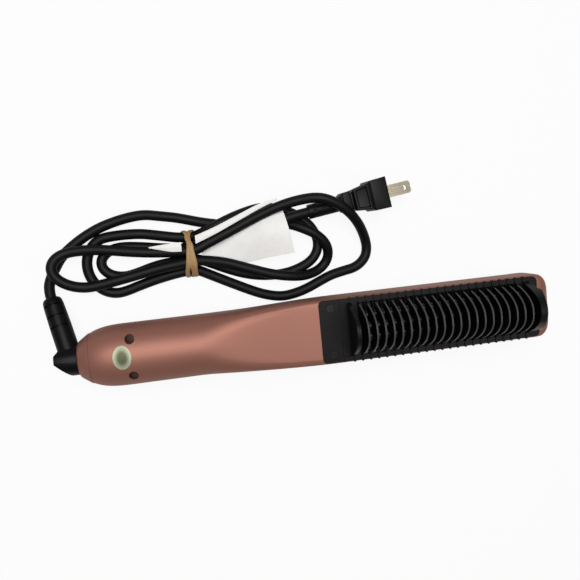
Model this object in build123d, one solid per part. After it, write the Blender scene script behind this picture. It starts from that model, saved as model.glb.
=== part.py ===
from build123d import *
import math
import os

# A hair straightening brush that lies on its back with its comb up. Its cord leaves a swivel at
# the tail, is tied in a hank with a rubber band, and ends in a two-blade plug.
# Millimetres. +X runs to the tip, +Z out of the comb, and the cord lies on the +Y side.
# The origin is under the middle of the body, on the surface that it lies on.

# Body
BODY_LENGTH = 298.6
HANDLE_R = 18.7
HEAD_HALF_WIDTH = 20.4
HEAD_RISE = 15.0
FLAT_DEPTH = 0.5
WALL = 2.0
CAP_LENGTH = 7.5
CAP_SEAM_R = 15.1
SEAM_CHAMFER = 0.35
TAIL_TAPER = 25.0
TIP_ROUND = 12.0
TIP_POWER = 2.2
NECK_START_X = -58.0
NECK_LENGTH = 64.0
FLATTEN_LENGTH = 74.0
SECTION_POINTS = 32
SECTION_STEP = 9.0
FIT = 0.1
SCREW_FIT = 0.05

AXIS_Z = HANDLE_R - FLAT_DEPTH
TAIL_X = -BODY_LENGTH / 2
CAP_SEAM_X = TAIL_X + CAP_LENGTH
TIP_X = BODY_LENGTH / 2
HEAD_TOP_Z = AXIS_Z + HEAD_RISE

# Comb guard
GUARD_X = -4.6
GUARD_LENGTH = 142.3
GUARD_HALF_WIDTH = 19.3
GUARD_T = 2.0
GUARD_CORNER_R = 3.0
GUARD_BUMP_R = 0.8
LEDGE_T = 2.0
OPENING_HALF_WIDTH = 17.0
FIN_COUNT = 21
FIN_PITCH = 5.15
FIRST_FIN_X = 20.1
FIN_T = 1.0
FIN_HALF_WIDTH = 16.5
FIN_HEIGHT = 20.6
FIN_POWER = 2.47
SLOT_WIDTH = 3.2
RIB_HEIGHT = 0.7
RIB_WIDTH = 0.8
NEAR_BLOCK_T = 2.4
NEAR_RIB_SETBACK = 4.8
TRENCH_WIDTH = 3.3
TRENCH_DEPTH = 1.2
TIP_BLOCK_T = 4.5
TIP_BLOCK_FOOT = 9.4
TIP_BLOCK_HALF_WIDTH = 12.0

GUARD_TOP_Z = HEAD_TOP_Z - 0.2
GUARD_Z = GUARD_TOP_Z - GUARD_T
LEDGE_Z = GUARD_Z - LEDGE_T
LAST_FIN_X = FIRST_FIN_X + (FIN_COUNT - 1) * FIN_PITCH
TIP_BLOCK_X = LAST_FIN_X + FIN_PITCH - 0.15
NEAR_BLOCK_X = FIRST_FIN_X - FIN_PITCH - 1.75

# Heater under the comb
HEATED_FIN_T = 1.2
HEATED_FIN_HALF_WIDTH = 15.0
HEATED_LOBE_R = 2.8
HEATED_LOBE_PITCH = 6.0
HEATED_INNER_TOP = 15.0
HEATED_OUTER_TOP = 9.5
BASE_T = 3.6
BASE_GAP = 1.4
BASE_HALF_WIDTH = 15.5
PTC_SIZE = (42.0, 12.0, 2.0)
INSULATION_T = 0.3
CLAMP_T = 0.8
STACK_HALF_WIDTH = 13.0
TRAY_T = 1.5
TRAY_WALL = 1.5

BASE_X0 = FIRST_FIN_X - FIN_PITCH
BASE_X1 = LAST_FIN_X + FIN_PITCH / 2 + 1.0
BASE_TOP_Z = LEDGE_Z - BASE_GAP
PTC_TOP_Z = BASE_TOP_Z - BASE_T
SHEET_TOP_Z = PTC_TOP_Z - PTC_SIZE[2]
CLAMP_TOP_Z = SHEET_TOP_Z - INSULATION_T
TRAY_FLOOR_Z = CLAMP_TOP_Z - CLAMP_T
TRAY_Z = TRAY_FLOOR_Z - TRAY_T

# Screws
COMB_SCREW_NEAR = 7.2
COMB_SCREW_TIP = 5.2
COMB_SCREW_Y = 14.3
SCREW_R = 1.2
SCREW_HEAD_R = 2.4
SCREW_HEAD_T = 1.2
SCREW_SLOT = 0.6
BOSS_R = 3.0
COMB_BOSS_Z = 23.0
HANDLE_SCREW_INSET = 24.3
HANDLE_SCREW_Y = 10.8
HANDLE_SCREW_HEAD_Z = 24.5
HANDLE_SCREW_HEAD_R = 2.6
HANDLE_SCREW_HEAD_T = 1.6
HANDLE_SCREW_END_Z = 11.0
TRAY_SCREW_END_Z = 11.0

STICKER_SETBACK = 5.0
STICKER_HALF_LENGTH = 5.25
STICKER_HALF_WIDTH = 7.0
STICKER_T = 0.17

HANDLE_SCREW_X = CAP_SEAM_X + HANDLE_SCREW_INSET

# Controls on the back, at the neck
PANEL_X0 = -71.0
PANEL_X1 = -8.0
PANEL_HALF_WIDTH = 6.5
PANEL_RECESS = 0.4
PANEL_FACE_T = 1.8
PANEL_RIM = 1.5
PAD_Z = 3.0
PANEL_FLANGE_T = 0.8
BUTTON_R = 3.5
BUTTON_FIT = 0.2
BUTTON_RECESS = 0.15
BUTTON_TRAVEL = 0.8
BUTTON_FLANGE_R = 4.3
BUTTON_FLANGE_T = 0.6
BUTTON_STEM_R = 1.5
BUTTON_TOP_Z = 3.4
POWER_X = -62.0
BUTTON_PITCH = 12.0
WINDOW_X = -21.0
WINDOW_LENGTH = 18.0
WINDOW_HALF_WIDTH = 4.2
WINDOW_T = 1.4
BOARD_Z = 6.0
BOARD_T = 1.6
BOARD_HALF_WIDTH = 9.0
BOARD_OVERHANG = 8.0
SWITCH_SIZE = 4.5
CAPACITOR_R = 4.0
CAPACITOR_HEIGHT = 11.0
TRIAC_WIDTH = 10.0
TRIAC_T = 4.6

# Swivel at the tail
BORE_R = 6.05
SPINDLE_R = 6.0
CAP_WALL = 6.0
STUB_DEPTH = 2.0
CLIP_R = 7.8
CLIP_T = 1.0
GROOVE_R = 5.2
CORE_R = 4.0
RING_R = 5.5
RING_T = 3.0
RING_PITCH = 5.0
SPIGOT_T = 1.6
SPIGOT_LENGTH = 3.5
ELBOW_R = 9.3
ELBOW_LENGTH = 14.2
ELBOW_HEEL = 5.4
ELBOW_TOE_Y = 4.0
ELBOW_GAP = 0.3
BOOT_SETBACK = 5.4
BOOT_YAW = 101.7
BOOT_DROP = 15.0
BOOT_LENGTH = 36.0
BOOT_BASE_R = 6.1
BOOT_END_R = 5.3
BOOT_COLLAR_R = 5.8
BOOT_COLLAR_LENGTH = 3.6
BOOT_GROOVES = 3
BOOT_GROOVE_PITCH = 6.4
BOOT_GROOVE_T = 1.3
BOOT_GROOVE_DEPTH = 0.7

# Cord, plug, band and tag
CORD_R = 2.9
BAND_X = -78.0
BAND_WIDTH = 7.5
BAND_T = 1.1
BAND_FIT = 0.45
PLUG_AXIS_Z = 11.4
PLUG_X = -1.0
PLUG_Y = 74.0
PLUG_YAW = 8.7
PLUG_BOOT_LENGTH = 27.0
PLUG_BOOT_R = 4.6
PLUG_BODY_LENGTH = 23.4
PLUG_BODY_WIDTH = 20.0
PLUG_BODY_HEIGHT = 22.4
PLUG_FLANGE_T = 3.0
BLADE_SPACING = 12.7
BLADE_T = 1.5
BLADE_LENGTH = 15.9
BLADE_WIDTHS = (7.9, 6.35)
BLADE_HOLE_R = 1.6
TAG_T = 0.4

os.makedirs("parts", exist_ok=True)


def blend(x, start, length):
    """0 before start and 1 past start + length, with a smooth step between."""
    t = min(max((x - start) / length, 0), 1)
    return t * t * (3 - 2 * t)


def section_size(x, inset):
    """Half width, rise, drop, top power and back power of the body's section at x."""
    taper = max(1 - (x - CAP_SEAM_X) / TAIL_TAPER, 0) ** 3.5
    handle = HANDLE_R - (HANDLE_R - CAP_SEAM_R) * taper
    neck = blend(x, NECK_START_X, NECK_LENGTH)
    top = blend(x, GUARD_X - FLATTEN_LENGTH - 1.0, FLATTEN_LENGTH)
    half_width = handle + (HEAD_HALF_WIDTH - HANDLE_R) * neck - inset
    ledge = GUARD_T + LEDGE_T + HEAD_TOP_Z - GUARD_TOP_Z - WALL if inset else 0
    rise = handle + (HEAD_RISE - HANDLE_R - ledge) * top - inset
    drop = handle - inset
    tip_x = TIP_X - inset
    reach = max((x - tip_x + TIP_ROUND) / (TIP_ROUND + 0.3), 0)
    tip = (1 - reach ** TIP_POWER) ** (1 / TIP_POWER)
    return half_width * tip, rise * tip, drop * tip, 2 + 8 * top, 2 + 0.6 * neck


def section(x, inset):
    half_width, rise, drop, top_power, back_power = section_size(x, inset)
    points = []
    for i in range(SECTION_POINTS):
        angle = 2 * math.pi * i / SECTION_POINTS
        c = math.cos(angle)
        s = math.sin(angle)
        power = top_power if s > 0 else back_power
        height = rise if s > 0 else drop
        y = half_width * math.copysign(abs(c) ** (2 / power), c)
        z = AXIS_Z + height * math.copysign(abs(s) ** (2 / power), s)
        points.append(Vector(x, y, z))
    steps = [i / SECTION_POINTS for i in range(SECTION_POINTS + 1)]
    return Wire([Edge.make_spline(points, periodic=True, parameters=steps)])


def even_steps(start, end, step):
    """Places from start up to, but not at, end, about a step apart."""
    count = max(round((end - start) / step), 1)
    return [start + (end - start) * i / count for i in range(count)]


def body_form(inset):
    """The body between the cap's seam and the tip, drawn in by inset."""
    tip_x = TIP_X - inset
    tail = [CAP_SEAM_X + TAIL_TAPER * i / 6 for i in range(6)]
    handle = even_steps(CAP_SEAM_X + TAIL_TAPER, NECK_START_X, SECTION_STEP)
    neck = even_steps(NECK_START_X, NECK_START_X + NECK_LENGTH, SECTION_STEP)
    head = even_steps(NECK_START_X + NECK_LENGTH, tip_x - TIP_ROUND, SECTION_STEP)
    tip = [tip_x - TIP_ROUND * step for step in (1.0, 0.72, 0.48, 0.28, 0.14, 0.05, 0)]
    if inset:
        tail[0] -= 1.0
    return Solid.make_loft([section(x, inset) for x in tail + handle + neck + head + tip])


def box(x0, x1, y0, y1, z0, z1):
    return Pos((x0 + x1) / 2, (y0 + y1) / 2, (z0 + z1) / 2) * Box(x1 - x0, y1 - y0, z1 - z0)


def post(x, y, z0, z1, radius):
    return Pos(x, y, (z0 + z1) / 2) * Cylinder(radius, z1 - z0)


def disc(x0, x1, radius):
    """A cylinder along the body's axis."""
    return Pos((x0 + x1) / 2, 0, AXIS_Z) * Rot(0, 90, 0) * Cylinder(radius, x1 - x0)


def ring(x0, x1, outer, inner):
    return disc(x0, x1, outer) - disc(x0, x1, inner)


def rounded_plate(x0, x1, half_width, corner, z0, z1):
    outline = Pos((x0 + x1) / 2, 0, z0) * RectangleRounded(x1 - x0, 2 * half_width, corner)
    return extrude(outline, z1 - z0)


def comb_screw_places():
    xs = (GUARD_X + COMB_SCREW_NEAR, GUARD_X + GUARD_LENGTH - COMB_SCREW_TIP)
    return [(x, y) for x in xs for y in (COMB_SCREW_Y, -COMB_SCREW_Y)]


def tray_screw_places():
    return [(x, y) for x in (BASE_X0 + 2.6, BASE_X1 - 2.6) for y in (12.0, -12.0)]


def board_screw_places():
    return [(PANEL_X0 - BOARD_OVERHANG + 3.0, 0), (PANEL_X1 + BOARD_OVERHANG - 3.0, 0)]


def screw(x, y, seat_z, end_z, head_r, head_t):
    """A pan-head screw with a cross recess, head up."""
    body = post(x, y, end_z, seat_z, SCREW_R) + post(x, y, seat_z, seat_z + head_t, head_r)
    reach = 0.62 * head_r
    top = seat_z + head_t
    for length, width in ((reach, SCREW_SLOT / 2), (SCREW_SLOT / 2, reach)):
        body -= box(x - length, x + length, y - width, y + width, top - 0.6, top + 1)
    return body


def save(name, *solids):
    shape = solids[0] if len(solids) == 1 else Compound(children=list(solids))
    export_step(shape, f"parts/{name}.step")


# Shells, tail cap and sticker
OUTER = body_form(0)
INNER = body_form(WALL)
SHELL = OUTER - INNER


def guard_seat():
    """The recess for the guard's plate, and the opening under it for the heated fins."""
    x1 = GUARD_X + GUARD_LENGTH
    recess = rounded_plate(GUARD_X - FIT, x1 + FIT, GUARD_HALF_WIDTH + FIT,
                           GUARD_CORNER_R, GUARD_Z, HEAD_TOP_Z + 5)
    opening = box(BASE_X0 - 2.0, BASE_X1 + 2.0, -OPENING_HALF_WIDTH, OPENING_HALF_WIDTH,
                  LEDGE_Z - 5, GUARD_Z + 1)
    return recess + opening


def front_shell():
    shell = SHELL & box(CAP_SEAM_X - 1, TIP_X + 1, -30, 30, AXIS_Z, 60)
    for x, y in comb_screw_places():
        shell += post(x, y, COMB_BOSS_Z, LEDGE_Z + 0.5, BOSS_R)
    for y in (HANDLE_SCREW_Y, -HANDLE_SCREW_Y):
        shell += post(HANDLE_SCREW_X, y, AXIS_Z, 40, BOSS_R + 0.5) & OUTER
    shell -= guard_seat()
    for x, y in comb_screw_places():
        shell -= post(x, y, COMB_BOSS_Z - 1, GUARD_Z + 1, SCREW_R + SCREW_FIT)
    for y in (HANDLE_SCREW_Y, -HANDLE_SCREW_Y):
        shell -= post(HANDLE_SCREW_X, y, HANDLE_SCREW_HEAD_Z, 40, HANDLE_SCREW_HEAD_R + 0.2)
        shell -= post(HANDLE_SCREW_X, y, AXIS_Z - 1, 40, SCREW_R + SCREW_FIT)
    return shell


def back_shell():
    shell = SHELL & box(CAP_SEAM_X - 1, TIP_X + 1, -30, 30, -5, AXIS_Z)
    pad = box(PANEL_X0 - 4, PANEL_X1 + 4, -PANEL_HALF_WIDTH - 3, PANEL_HALF_WIDTH + 3, -2, PAD_Z)
    shell += pad & OUTER
    for x, y in tray_screw_places():
        shell += post(x, y, -2, TRAY_Z, BOSS_R) & OUTER
    for x, y in board_screw_places():
        shell += post(x, y, 1.0, BOARD_Z, BOSS_R)
    for y in (HANDLE_SCREW_Y, -HANDLE_SCREW_Y):
        shell += post(HANDLE_SCREW_X, y, -2, AXIS_Z, BOSS_R + 0.5) & OUTER
    shell -= box(TAIL_X, TIP_X + 1, -30, 30, -5, 0)
    shell -= rounded_plate(PANEL_X0 - FIT, PANEL_X1 + FIT, PANEL_HALF_WIDTH + FIT,
                           PANEL_HALF_WIDTH, -3, PAD_Z + 1)
    rim = PANEL_RIM + FIT
    shell -= rounded_plate(PANEL_X0 - rim, PANEL_X1 + rim, PANEL_HALF_WIDTH + rim,
                           PANEL_HALF_WIDTH + rim - 0.1, PAD_Z, PAD_Z + PANEL_FLANGE_T + 1)
    for x, y in tray_screw_places():
        shell -= post(x, y, TRAY_SCREW_END_Z - 1, TRAY_Z + 1, SCREW_R + SCREW_FIT)
    for x, y in board_screw_places():
        shell -= post(x, y, 2.6, BOARD_Z + 1, SCREW_R + SCREW_FIT)
    for y in (HANDLE_SCREW_Y, -HANDLE_SCREW_Y):
        shell -= post(HANDLE_SCREW_X, y, HANDLE_SCREW_END_Z - 1, AXIS_Z + 1, SCREW_R + SCREW_FIT)
    return shell


def tail_cap():
    """A domed cap with the swivel's bore and a spigot inside the two shells."""
    spigot_r = CAP_SEAM_R - WALL - FIT
    inner_r = spigot_r - SPIGOT_T
    with BuildPart() as cap:
        with BuildSketch(Plane.XY) as profile:
            with BuildLine():
                rim = Line((CAP_SEAM_X, 0), (CAP_SEAM_X, CAP_SEAM_R - SEAM_CHAMFER))
                seam = Line(rim @ 1, (CAP_SEAM_X - SEAM_CHAMFER, CAP_SEAM_R))
                dome = Spline(seam @ 1, (TAIL_X + 4.5, 13.5), (TAIL_X + 1.8, 11.6), (TAIL_X, 9.4),
                              tangents=((-0.9, -0.3), (-0.3, -1)))
                Polyline(dome @ 1, (TAIL_X, 0), rim @ 0)
            make_face()
        revolve(axis=Axis.X)
    cap = Pos(0, 0, AXIS_Z) * cap.part
    cap += disc(CAP_SEAM_X - 1, CAP_SEAM_X + SPIGOT_LENGTH, spigot_r)
    cap -= disc(TAIL_X + CAP_WALL, CAP_SEAM_X + SPIGOT_LENGTH + 1, inner_r - 1.0)
    cap -= disc(TAIL_X - 1, CAP_SEAM_X, BORE_R)
    return cap


def rating_sticker():
    """A bare oval label on the handle, between the two screws and the tail."""
    x = HANDLE_SCREW_X - STICKER_SETBACK
    oval = Pos(x, 1.0, AXIS_Z) * extrude(Ellipse(STICKER_HALF_LENGTH, STICKER_HALF_WIDTH), 30)
    band = ring(x - 8, x + 8, HANDLE_R + 0.15 + STICKER_T, HANDLE_R + 0.15)
    return band & oval


# Comb guard
def arch(x0, x1, half_width, height):
    """An arch-topped plate across the guard, from x0 to x1."""
    steps = 12
    points = []
    for i in range(steps + 1):
        y = half_width * (2 * i / steps - 1)
        points.append((y, height * (1 - abs(y / half_width) ** FIN_POWER)))
    outline = Spline(*points) + Line(points[-1], points[0])
    face = Plane(origin=(x0, 0, GUARD_TOP_Z), x_dir=(0, 1, 0), z_dir=(1, 0, 0)) * make_face(outline)
    return extrude(face, x1 - x0)


def guard_frame():
    """The plate under the fins. A rib runs from each fin's foot to a bump at the plate's edge."""
    x1 = GUARD_X + GUARD_LENGTH
    frame = rounded_plate(GUARD_X, x1, GUARD_HALF_WIDTH, GUARD_CORNER_R, GUARD_Z, GUARD_TOP_Z)
    rib_top = GUARD_TOP_Z + RIB_HEIGHT
    for i in range(-1, FIN_COUNT + 1):
        x = FIRST_FIN_X + i * FIN_PITCH
        for side in (1, -1):
            rib = box(x - RIB_WIDTH / 2, x + RIB_WIDTH / 2, FIN_HALF_WIDTH + FIT, GUARD_HALF_WIDTH,
                      GUARD_TOP_Z - 0.2, rib_top)
            frame += rib if side > 0 else mirror(rib, about=Plane.XZ)
            frame += post(x, side * GUARD_HALF_WIDTH, GUARD_TOP_Z - 0.6, rib_top, GUARD_BUMP_R)
    for i in range(FIN_COUNT - 1):
        x = FIRST_FIN_X + (i + 0.5) * FIN_PITCH
        frame -= box(x - SLOT_WIDTH / 2, x + SLOT_WIDTH / 2, 0.3 - FIN_HALF_WIDTH,
                     FIN_HALF_WIDTH - 0.3, GUARD_Z - 1, GUARD_TOP_Z + 1)
    x = NEAR_BLOCK_X - NEAR_RIB_SETBACK
    frame += box(x, x + RIB_WIDTH, -GUARD_HALF_WIDTH, GUARD_HALF_WIDTH, GUARD_TOP_Z - 0.2, rib_top)
    x = NEAR_BLOCK_X - 0.3
    frame -= box(x - TRENCH_WIDTH, x, -FIN_HALF_WIDTH, FIN_HALF_WIDTH, GUARD_TOP_Z - TRENCH_DEPTH,
                 GUARD_TOP_Z + 1)
    for x, y in comb_screw_places():
        frame -= post(x, y, GUARD_Z - 1, GUARD_TOP_Z + 1, SCREW_R + SCREW_FIT)
        frame -= post(x, y, GUARD_TOP_Z - SCREW_HEAD_T, GUARD_TOP_Z + 1, SCREW_HEAD_R + 0.2)
    return frame


def guard_fins():
    fins = []
    for i in range(FIN_COUNT):
        x = FIRST_FIN_X + i * FIN_PITCH
        fins.append(arch(x - FIN_T / 2, x + FIN_T / 2, FIN_HALF_WIDTH, FIN_HEIGHT))
    return fins


def guard_end_blocks():
    """The thick arch at each end of the fins. The tip's one has a sloped buttress."""
    near = arch(NEAR_BLOCK_X, NEAR_BLOCK_X + NEAR_BLOCK_T, FIN_HALF_WIDTH, FIN_HEIGHT)
    outer_x = TIP_BLOCK_X + TIP_BLOCK_T
    foot_x = TIP_BLOCK_X + TIP_BLOCK_FOOT
    tip = arch(TIP_BLOCK_X, outer_x, FIN_HALF_WIDTH, FIN_HEIGHT)
    slope = Polyline((outer_x - 0.5, 0), (foot_x, 0), (outer_x, 0.9 * FIN_HEIGHT),
                     (outer_x - 0.5, 0.9 * FIN_HEIGHT), close=True)
    side = Plane(origin=(0, TIP_BLOCK_HALF_WIDTH, GUARD_TOP_Z), x_dir=(1, 0, 0), z_dir=(0, -1, 0))
    buttress = extrude(side * make_face(slope), 2 * TIP_BLOCK_HALF_WIDTH)
    tip += buttress & arch(TIP_BLOCK_X, foot_x, FIN_HALF_WIDTH, FIN_HEIGHT)
    return [near, tip]


# Heater
def heated_fin(x):
    """A thin plate with four round lobes on top, the inner two higher."""
    base = Pos(0, 1.5) * Rectangle(2 * HEATED_FIN_HALF_WIDTH, 3)
    rise = GUARD_TOP_Z - BASE_TOP_Z
    for k, top in ((-1.5, HEATED_OUTER_TOP), (-0.5, HEATED_INNER_TOP),
                   (0.5, HEATED_INNER_TOP), (1.5, HEATED_OUTER_TOP)):
        y = k * HEATED_LOBE_PITCH
        height = rise + top - HEATED_LOBE_R
        base += Pos(y, height / 2) * Rectangle(2 * HEATED_LOBE_R, height)
        base += Pos(y, height) * Circle(HEATED_LOBE_R)
    web = rise + HEATED_OUTER_TOP - 2 * HEATED_LOBE_R
    base += Pos(0, web / 2) * Rectangle(3 * HEATED_LOBE_PITCH, web)
    plane = Plane(origin=(x - HEATED_FIN_T / 2, 0, BASE_TOP_Z), x_dir=(0, 1, 0), z_dir=(1, 0, 0))
    return extrude(plane * base, HEATED_FIN_T)


def heated_fins():
    return [heated_fin(FIRST_FIN_X + (i + 0.5) * FIN_PITCH) for i in range(FIN_COUNT - 1)]


def heating_base():
    return box(BASE_X0, BASE_X1, -BASE_HALF_WIDTH, BASE_HALF_WIDTH, PTC_TOP_Z, BASE_TOP_Z)


def ptc_places():
    middle = (BASE_X0 + BASE_X1) / 2
    return (middle - 26.0, middle + 26.0)


def ptc_heaters():
    length, width, height = PTC_SIZE
    return [box(x - length / 2, x + length / 2, -width / 2, width / 2, SHEET_TOP_Z, PTC_TOP_Z)
            for x in ptc_places()]


def stack_plate(z0, z1):
    return box(BASE_X0 + 6, BASE_X1 - 6, -STACK_HALF_WIDTH, STACK_HALF_WIDTH, z0, z1)


def thermal_fuse():
    x = (BASE_X0 + BASE_X1) / 2
    radius = (PTC_TOP_Z - SHEET_TOP_Z) / 2
    return Pos(x, 0, SHEET_TOP_Z + radius) * Rot(90, 0, 0) * Cylinder(radius - 0.02, 9)


def thermistor():
    x = ptc_places()[1] + PTC_SIZE[0] / 2
    return box(x + 0.3, x + 2.8, -1.5, 1.5, PTC_TOP_Z - 1.2, PTC_TOP_Z)


def heater_tray():
    half = BASE_HALF_WIDTH + FIT
    top = BASE_TOP_Z - 0.8
    tray = box(BASE_X0 - FIT - TRAY_WALL, BASE_X1 + FIT + TRAY_WALL, -half - TRAY_WALL,
               half + TRAY_WALL, TRAY_Z, top)
    tray -= box(BASE_X0 - FIT, BASE_X1 + FIT, -half, half, TRAY_FLOOR_Z, top + 1)
    for x, y in tray_screw_places():
        tray -= post(x, y, TRAY_Z - 1, TRAY_FLOOR_Z + 1, SCREW_R + SCREW_FIT)
    for y in (WIRE_Y, -WIRE_Y):
        tray -= Pos(BASE_X0 - 1, y, WIRE_Z) * Rot(0, 90, 0) * Cylinder(WIRE_R + 0.2, 4)
    return tray


WIRE_R = 0.8
WIRE_Y = 4.5
WIRE_Z = PTC_TOP_Z - WIRE_R - 0.15


def wire(points):
    radii = corner_radii(points)
    path = FilletPolyline(*points, radius=radii)
    return sweep(Plane(origin=path @ 0, z_dir=path % 0) * Circle(WIRE_R), path)


def heater_wires():
    """Two leads from the board to the near heater, through the tray's end wall."""
    end_x = ptc_places()[0] - PTC_SIZE[0] / 2
    top = BOARD_Z + BOARD_T
    wires = []
    for y in (WIRE_Y, -WIRE_Y):
        wires.append(wire([(-16, y, top), (-16, y, top + 5), (-10, y, top + 11), (-2, y, WIRE_Z - 1.5),
                           (7, y, WIRE_Z), (end_x, y, WIRE_Z)]))
    return wires


def supply_wires():
    """Two leads from the swivel's contacts to the board."""
    top = BOARD_Z + BOARD_T
    x = PANEL_X0 - BOARD_OVERHANG + 9
    wires = []
    for y in (3.0, -3.0):
        wires.append(wire([(CONTACT_X1, y, 6.4), (CONTACT_X1 + 9, y, 6.4), (-102, y, 9), (-86, y, 13),
                           (x - 3, y, 12.5), (x, y, 9.5 + 0.5), (x, y, top)]))
    return wires


# Controls
def button_xs():
    return {"power_button": POWER_X, "minus_button": POWER_X + BUTTON_PITCH,
            "plus_button": POWER_X + 2 * BUTTON_PITCH}


def control_panel():
    """An inset panel with round button holes, a window and a flange inside the shell."""
    panel = rounded_plate(PANEL_X0, PANEL_X1, PANEL_HALF_WIDTH, PANEL_HALF_WIDTH - 0.1,
                          PANEL_RECESS, PAD_Z + PANEL_FLANGE_T)
    panel += rounded_plate(PANEL_X0 - PANEL_RIM, PANEL_X1 + PANEL_RIM, PANEL_HALF_WIDTH + PANEL_RIM,
                           PANEL_HALF_WIDTH + PANEL_RIM - 0.1, PAD_Z, PAD_Z + PANEL_FLANGE_T)
    pocket_half = PANEL_HALF_WIDTH - 1.2
    panel -= rounded_plate(PANEL_X0 + 1.2, PANEL_X1 - 1.2, pocket_half, pocket_half - 0.1,
                           PANEL_RECESS + PANEL_FACE_T, PAD_Z + PANEL_FLANGE_T + 1)
    for x in button_xs().values():
        panel -= post(x, 0, -1, PAD_Z + 2, BUTTON_R + BUTTON_FIT)
    half = WINDOW_LENGTH / 2 + FIT
    panel -= box(WINDOW_X - half, WINDOW_X + half, -WINDOW_HALF_WIDTH - FIT,
                 WINDOW_HALF_WIDTH + FIT, -1, PAD_Z + 1)
    return panel


def display_window():
    half = WINDOW_LENGTH / 2
    return box(WINDOW_X - half, WINDOW_X + half, -WINDOW_HALF_WIDTH, WINDOW_HALF_WIDTH,
               PANEL_RECESS, PANEL_RECESS + WINDOW_T)


def display_module():
    half = WINDOW_LENGTH / 2 - 0.8
    return box(WINDOW_X - half, WINDOW_X + half, 0.5 - WINDOW_HALF_WIDTH,
               WINDOW_HALF_WIDTH - 0.5, PANEL_RECESS + WINDOW_T + 0.3, BOARD_Z)


def button(x):
    flange_z = PANEL_RECESS + PANEL_FACE_T + 0.05
    cap = post(x, 0, BUTTON_RECESS, flange_z + BUTTON_FLANGE_T, BUTTON_R)
    cap += post(x, 0, flange_z, flange_z + BUTTON_FLANGE_T, BUTTON_FLANGE_R)
    cap += post(x, 0, flange_z, BUTTON_TOP_Z, BUTTON_STEM_R)
    return chamfer(cap.faces().sort_by(Axis.Z)[0].edges(), 0.3)


def tact_switches():
    half = SWITCH_SIZE / 2
    z0 = BUTTON_TOP_Z + BUTTON_TRAVEL + FIT
    return [box(x - half, x + half, -half, half, z0, BOARD_Z) for x in button_xs().values()]


def control_board():
    board = box(PANEL_X0 - BOARD_OVERHANG, PANEL_X1 + BOARD_OVERHANG, -BOARD_HALF_WIDTH,
                BOARD_HALF_WIDTH, BOARD_Z, BOARD_Z + BOARD_T)
    for x, y in board_screw_places():
        board -= post(x, y, BOARD_Z - 1, BOARD_Z + BOARD_T + 1, SCREW_R + SCREW_FIT)
    return board


def capacitor():
    z = BOARD_Z + BOARD_T
    return post(POWER_X + 2.0, 0, z, z + CAPACITOR_HEIGHT, CAPACITOR_R)


def triac():
    x = POWER_X + 21.0
    z = BOARD_Z + BOARD_T
    return box(x - TRIAC_WIDTH / 2, x + TRIAC_WIDTH / 2, -TRIAC_T / 2, TRIAC_T / 2, z, z + TRIAC_WIDTH)


# Swivel
CONTACT_X0 = CAP_SEAM_X + SPIGOT_LENGTH + 0.5
CONTACT_X1 = CONTACT_X0 + 12.5
CLIP_X = TAIL_X + CAP_WALL + 0.2


def ring_xs():
    first = CONTACT_X0 + 2.5
    return (first, first + RING_PITCH)


def swivel_spindle():
    """The turning spindle inside the tail, with a clip groove and a slimmer contact core."""
    core_x = CLIP_X + CLIP_T + 1.8
    spindle = disc(TAIL_X + STUB_DEPTH, core_x, SPINDLE_R)
    spindle -= ring(CLIP_X - 0.1, CLIP_X + CLIP_T + 0.1, SPINDLE_R + 1, GROOVE_R)
    return spindle + disc(core_x - 1, ring_xs()[1] + RING_T / 2 + 2, CORE_R)


def swivel_clip():
    return ring(CLIP_X, CLIP_X + CLIP_T, CLIP_R, GROOVE_R + 0.03)


def slip_rings():
    return [ring(x - RING_T / 2, x + RING_T / 2, RING_R, CORE_R + 0.02) for x in ring_xs()]


CONTACT_BLOCK_Z = 4.2
CONTACT_BLOCK_H = 3.6


def contact_block():
    block = box(CONTACT_X0, CONTACT_X1, -5.0, 5.0, CONTACT_BLOCK_Z, CONTACT_BLOCK_Z + CONTACT_BLOCK_H)
    for y in (3.0, -3.0):
        block -= Pos(CONTACT_X1, y, 6.4) * Rot(0, 90, 0) * Cylinder(WIRE_R + 0.1, 0.02)
    return block


def contact_leaves():
    """Two bent brass strips that stand on the block and reach up to the slip rings."""
    z0 = CONTACT_BLOCK_Z + CONTACT_BLOCK_H
    top = AXIS_Z - RING_R - 0.3
    leaves = []
    for x in ring_xs():
        foot = box(x - 1, x + 1, -4.5, 3, z0, z0 + 0.4)
        arm = box(x - 1, x + 1, 2.6, 3, z0, top)
        tongue = box(x - 1, x + 1, -3, 3, top - 0.4, top)
        leaves.append(foot + arm + tongue)
    return leaves


def boot_direction():
    yaw = math.radians(BOOT_YAW)
    drop = math.radians(BOOT_DROP)
    return Vector(math.cos(yaw) * math.cos(drop), math.sin(yaw) * math.cos(drop), -math.sin(drop))


ELBOW_X = TAIL_X - ELBOW_GAP
BOOT_START = Vector(ELBOW_X - BOOT_SETBACK, 0, AXIS_Z)
BOOT_SPAN = BOOT_LENGTH + 3.9


def boot_end():
    return BOOT_START + boot_direction() * BOOT_SPAN


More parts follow.
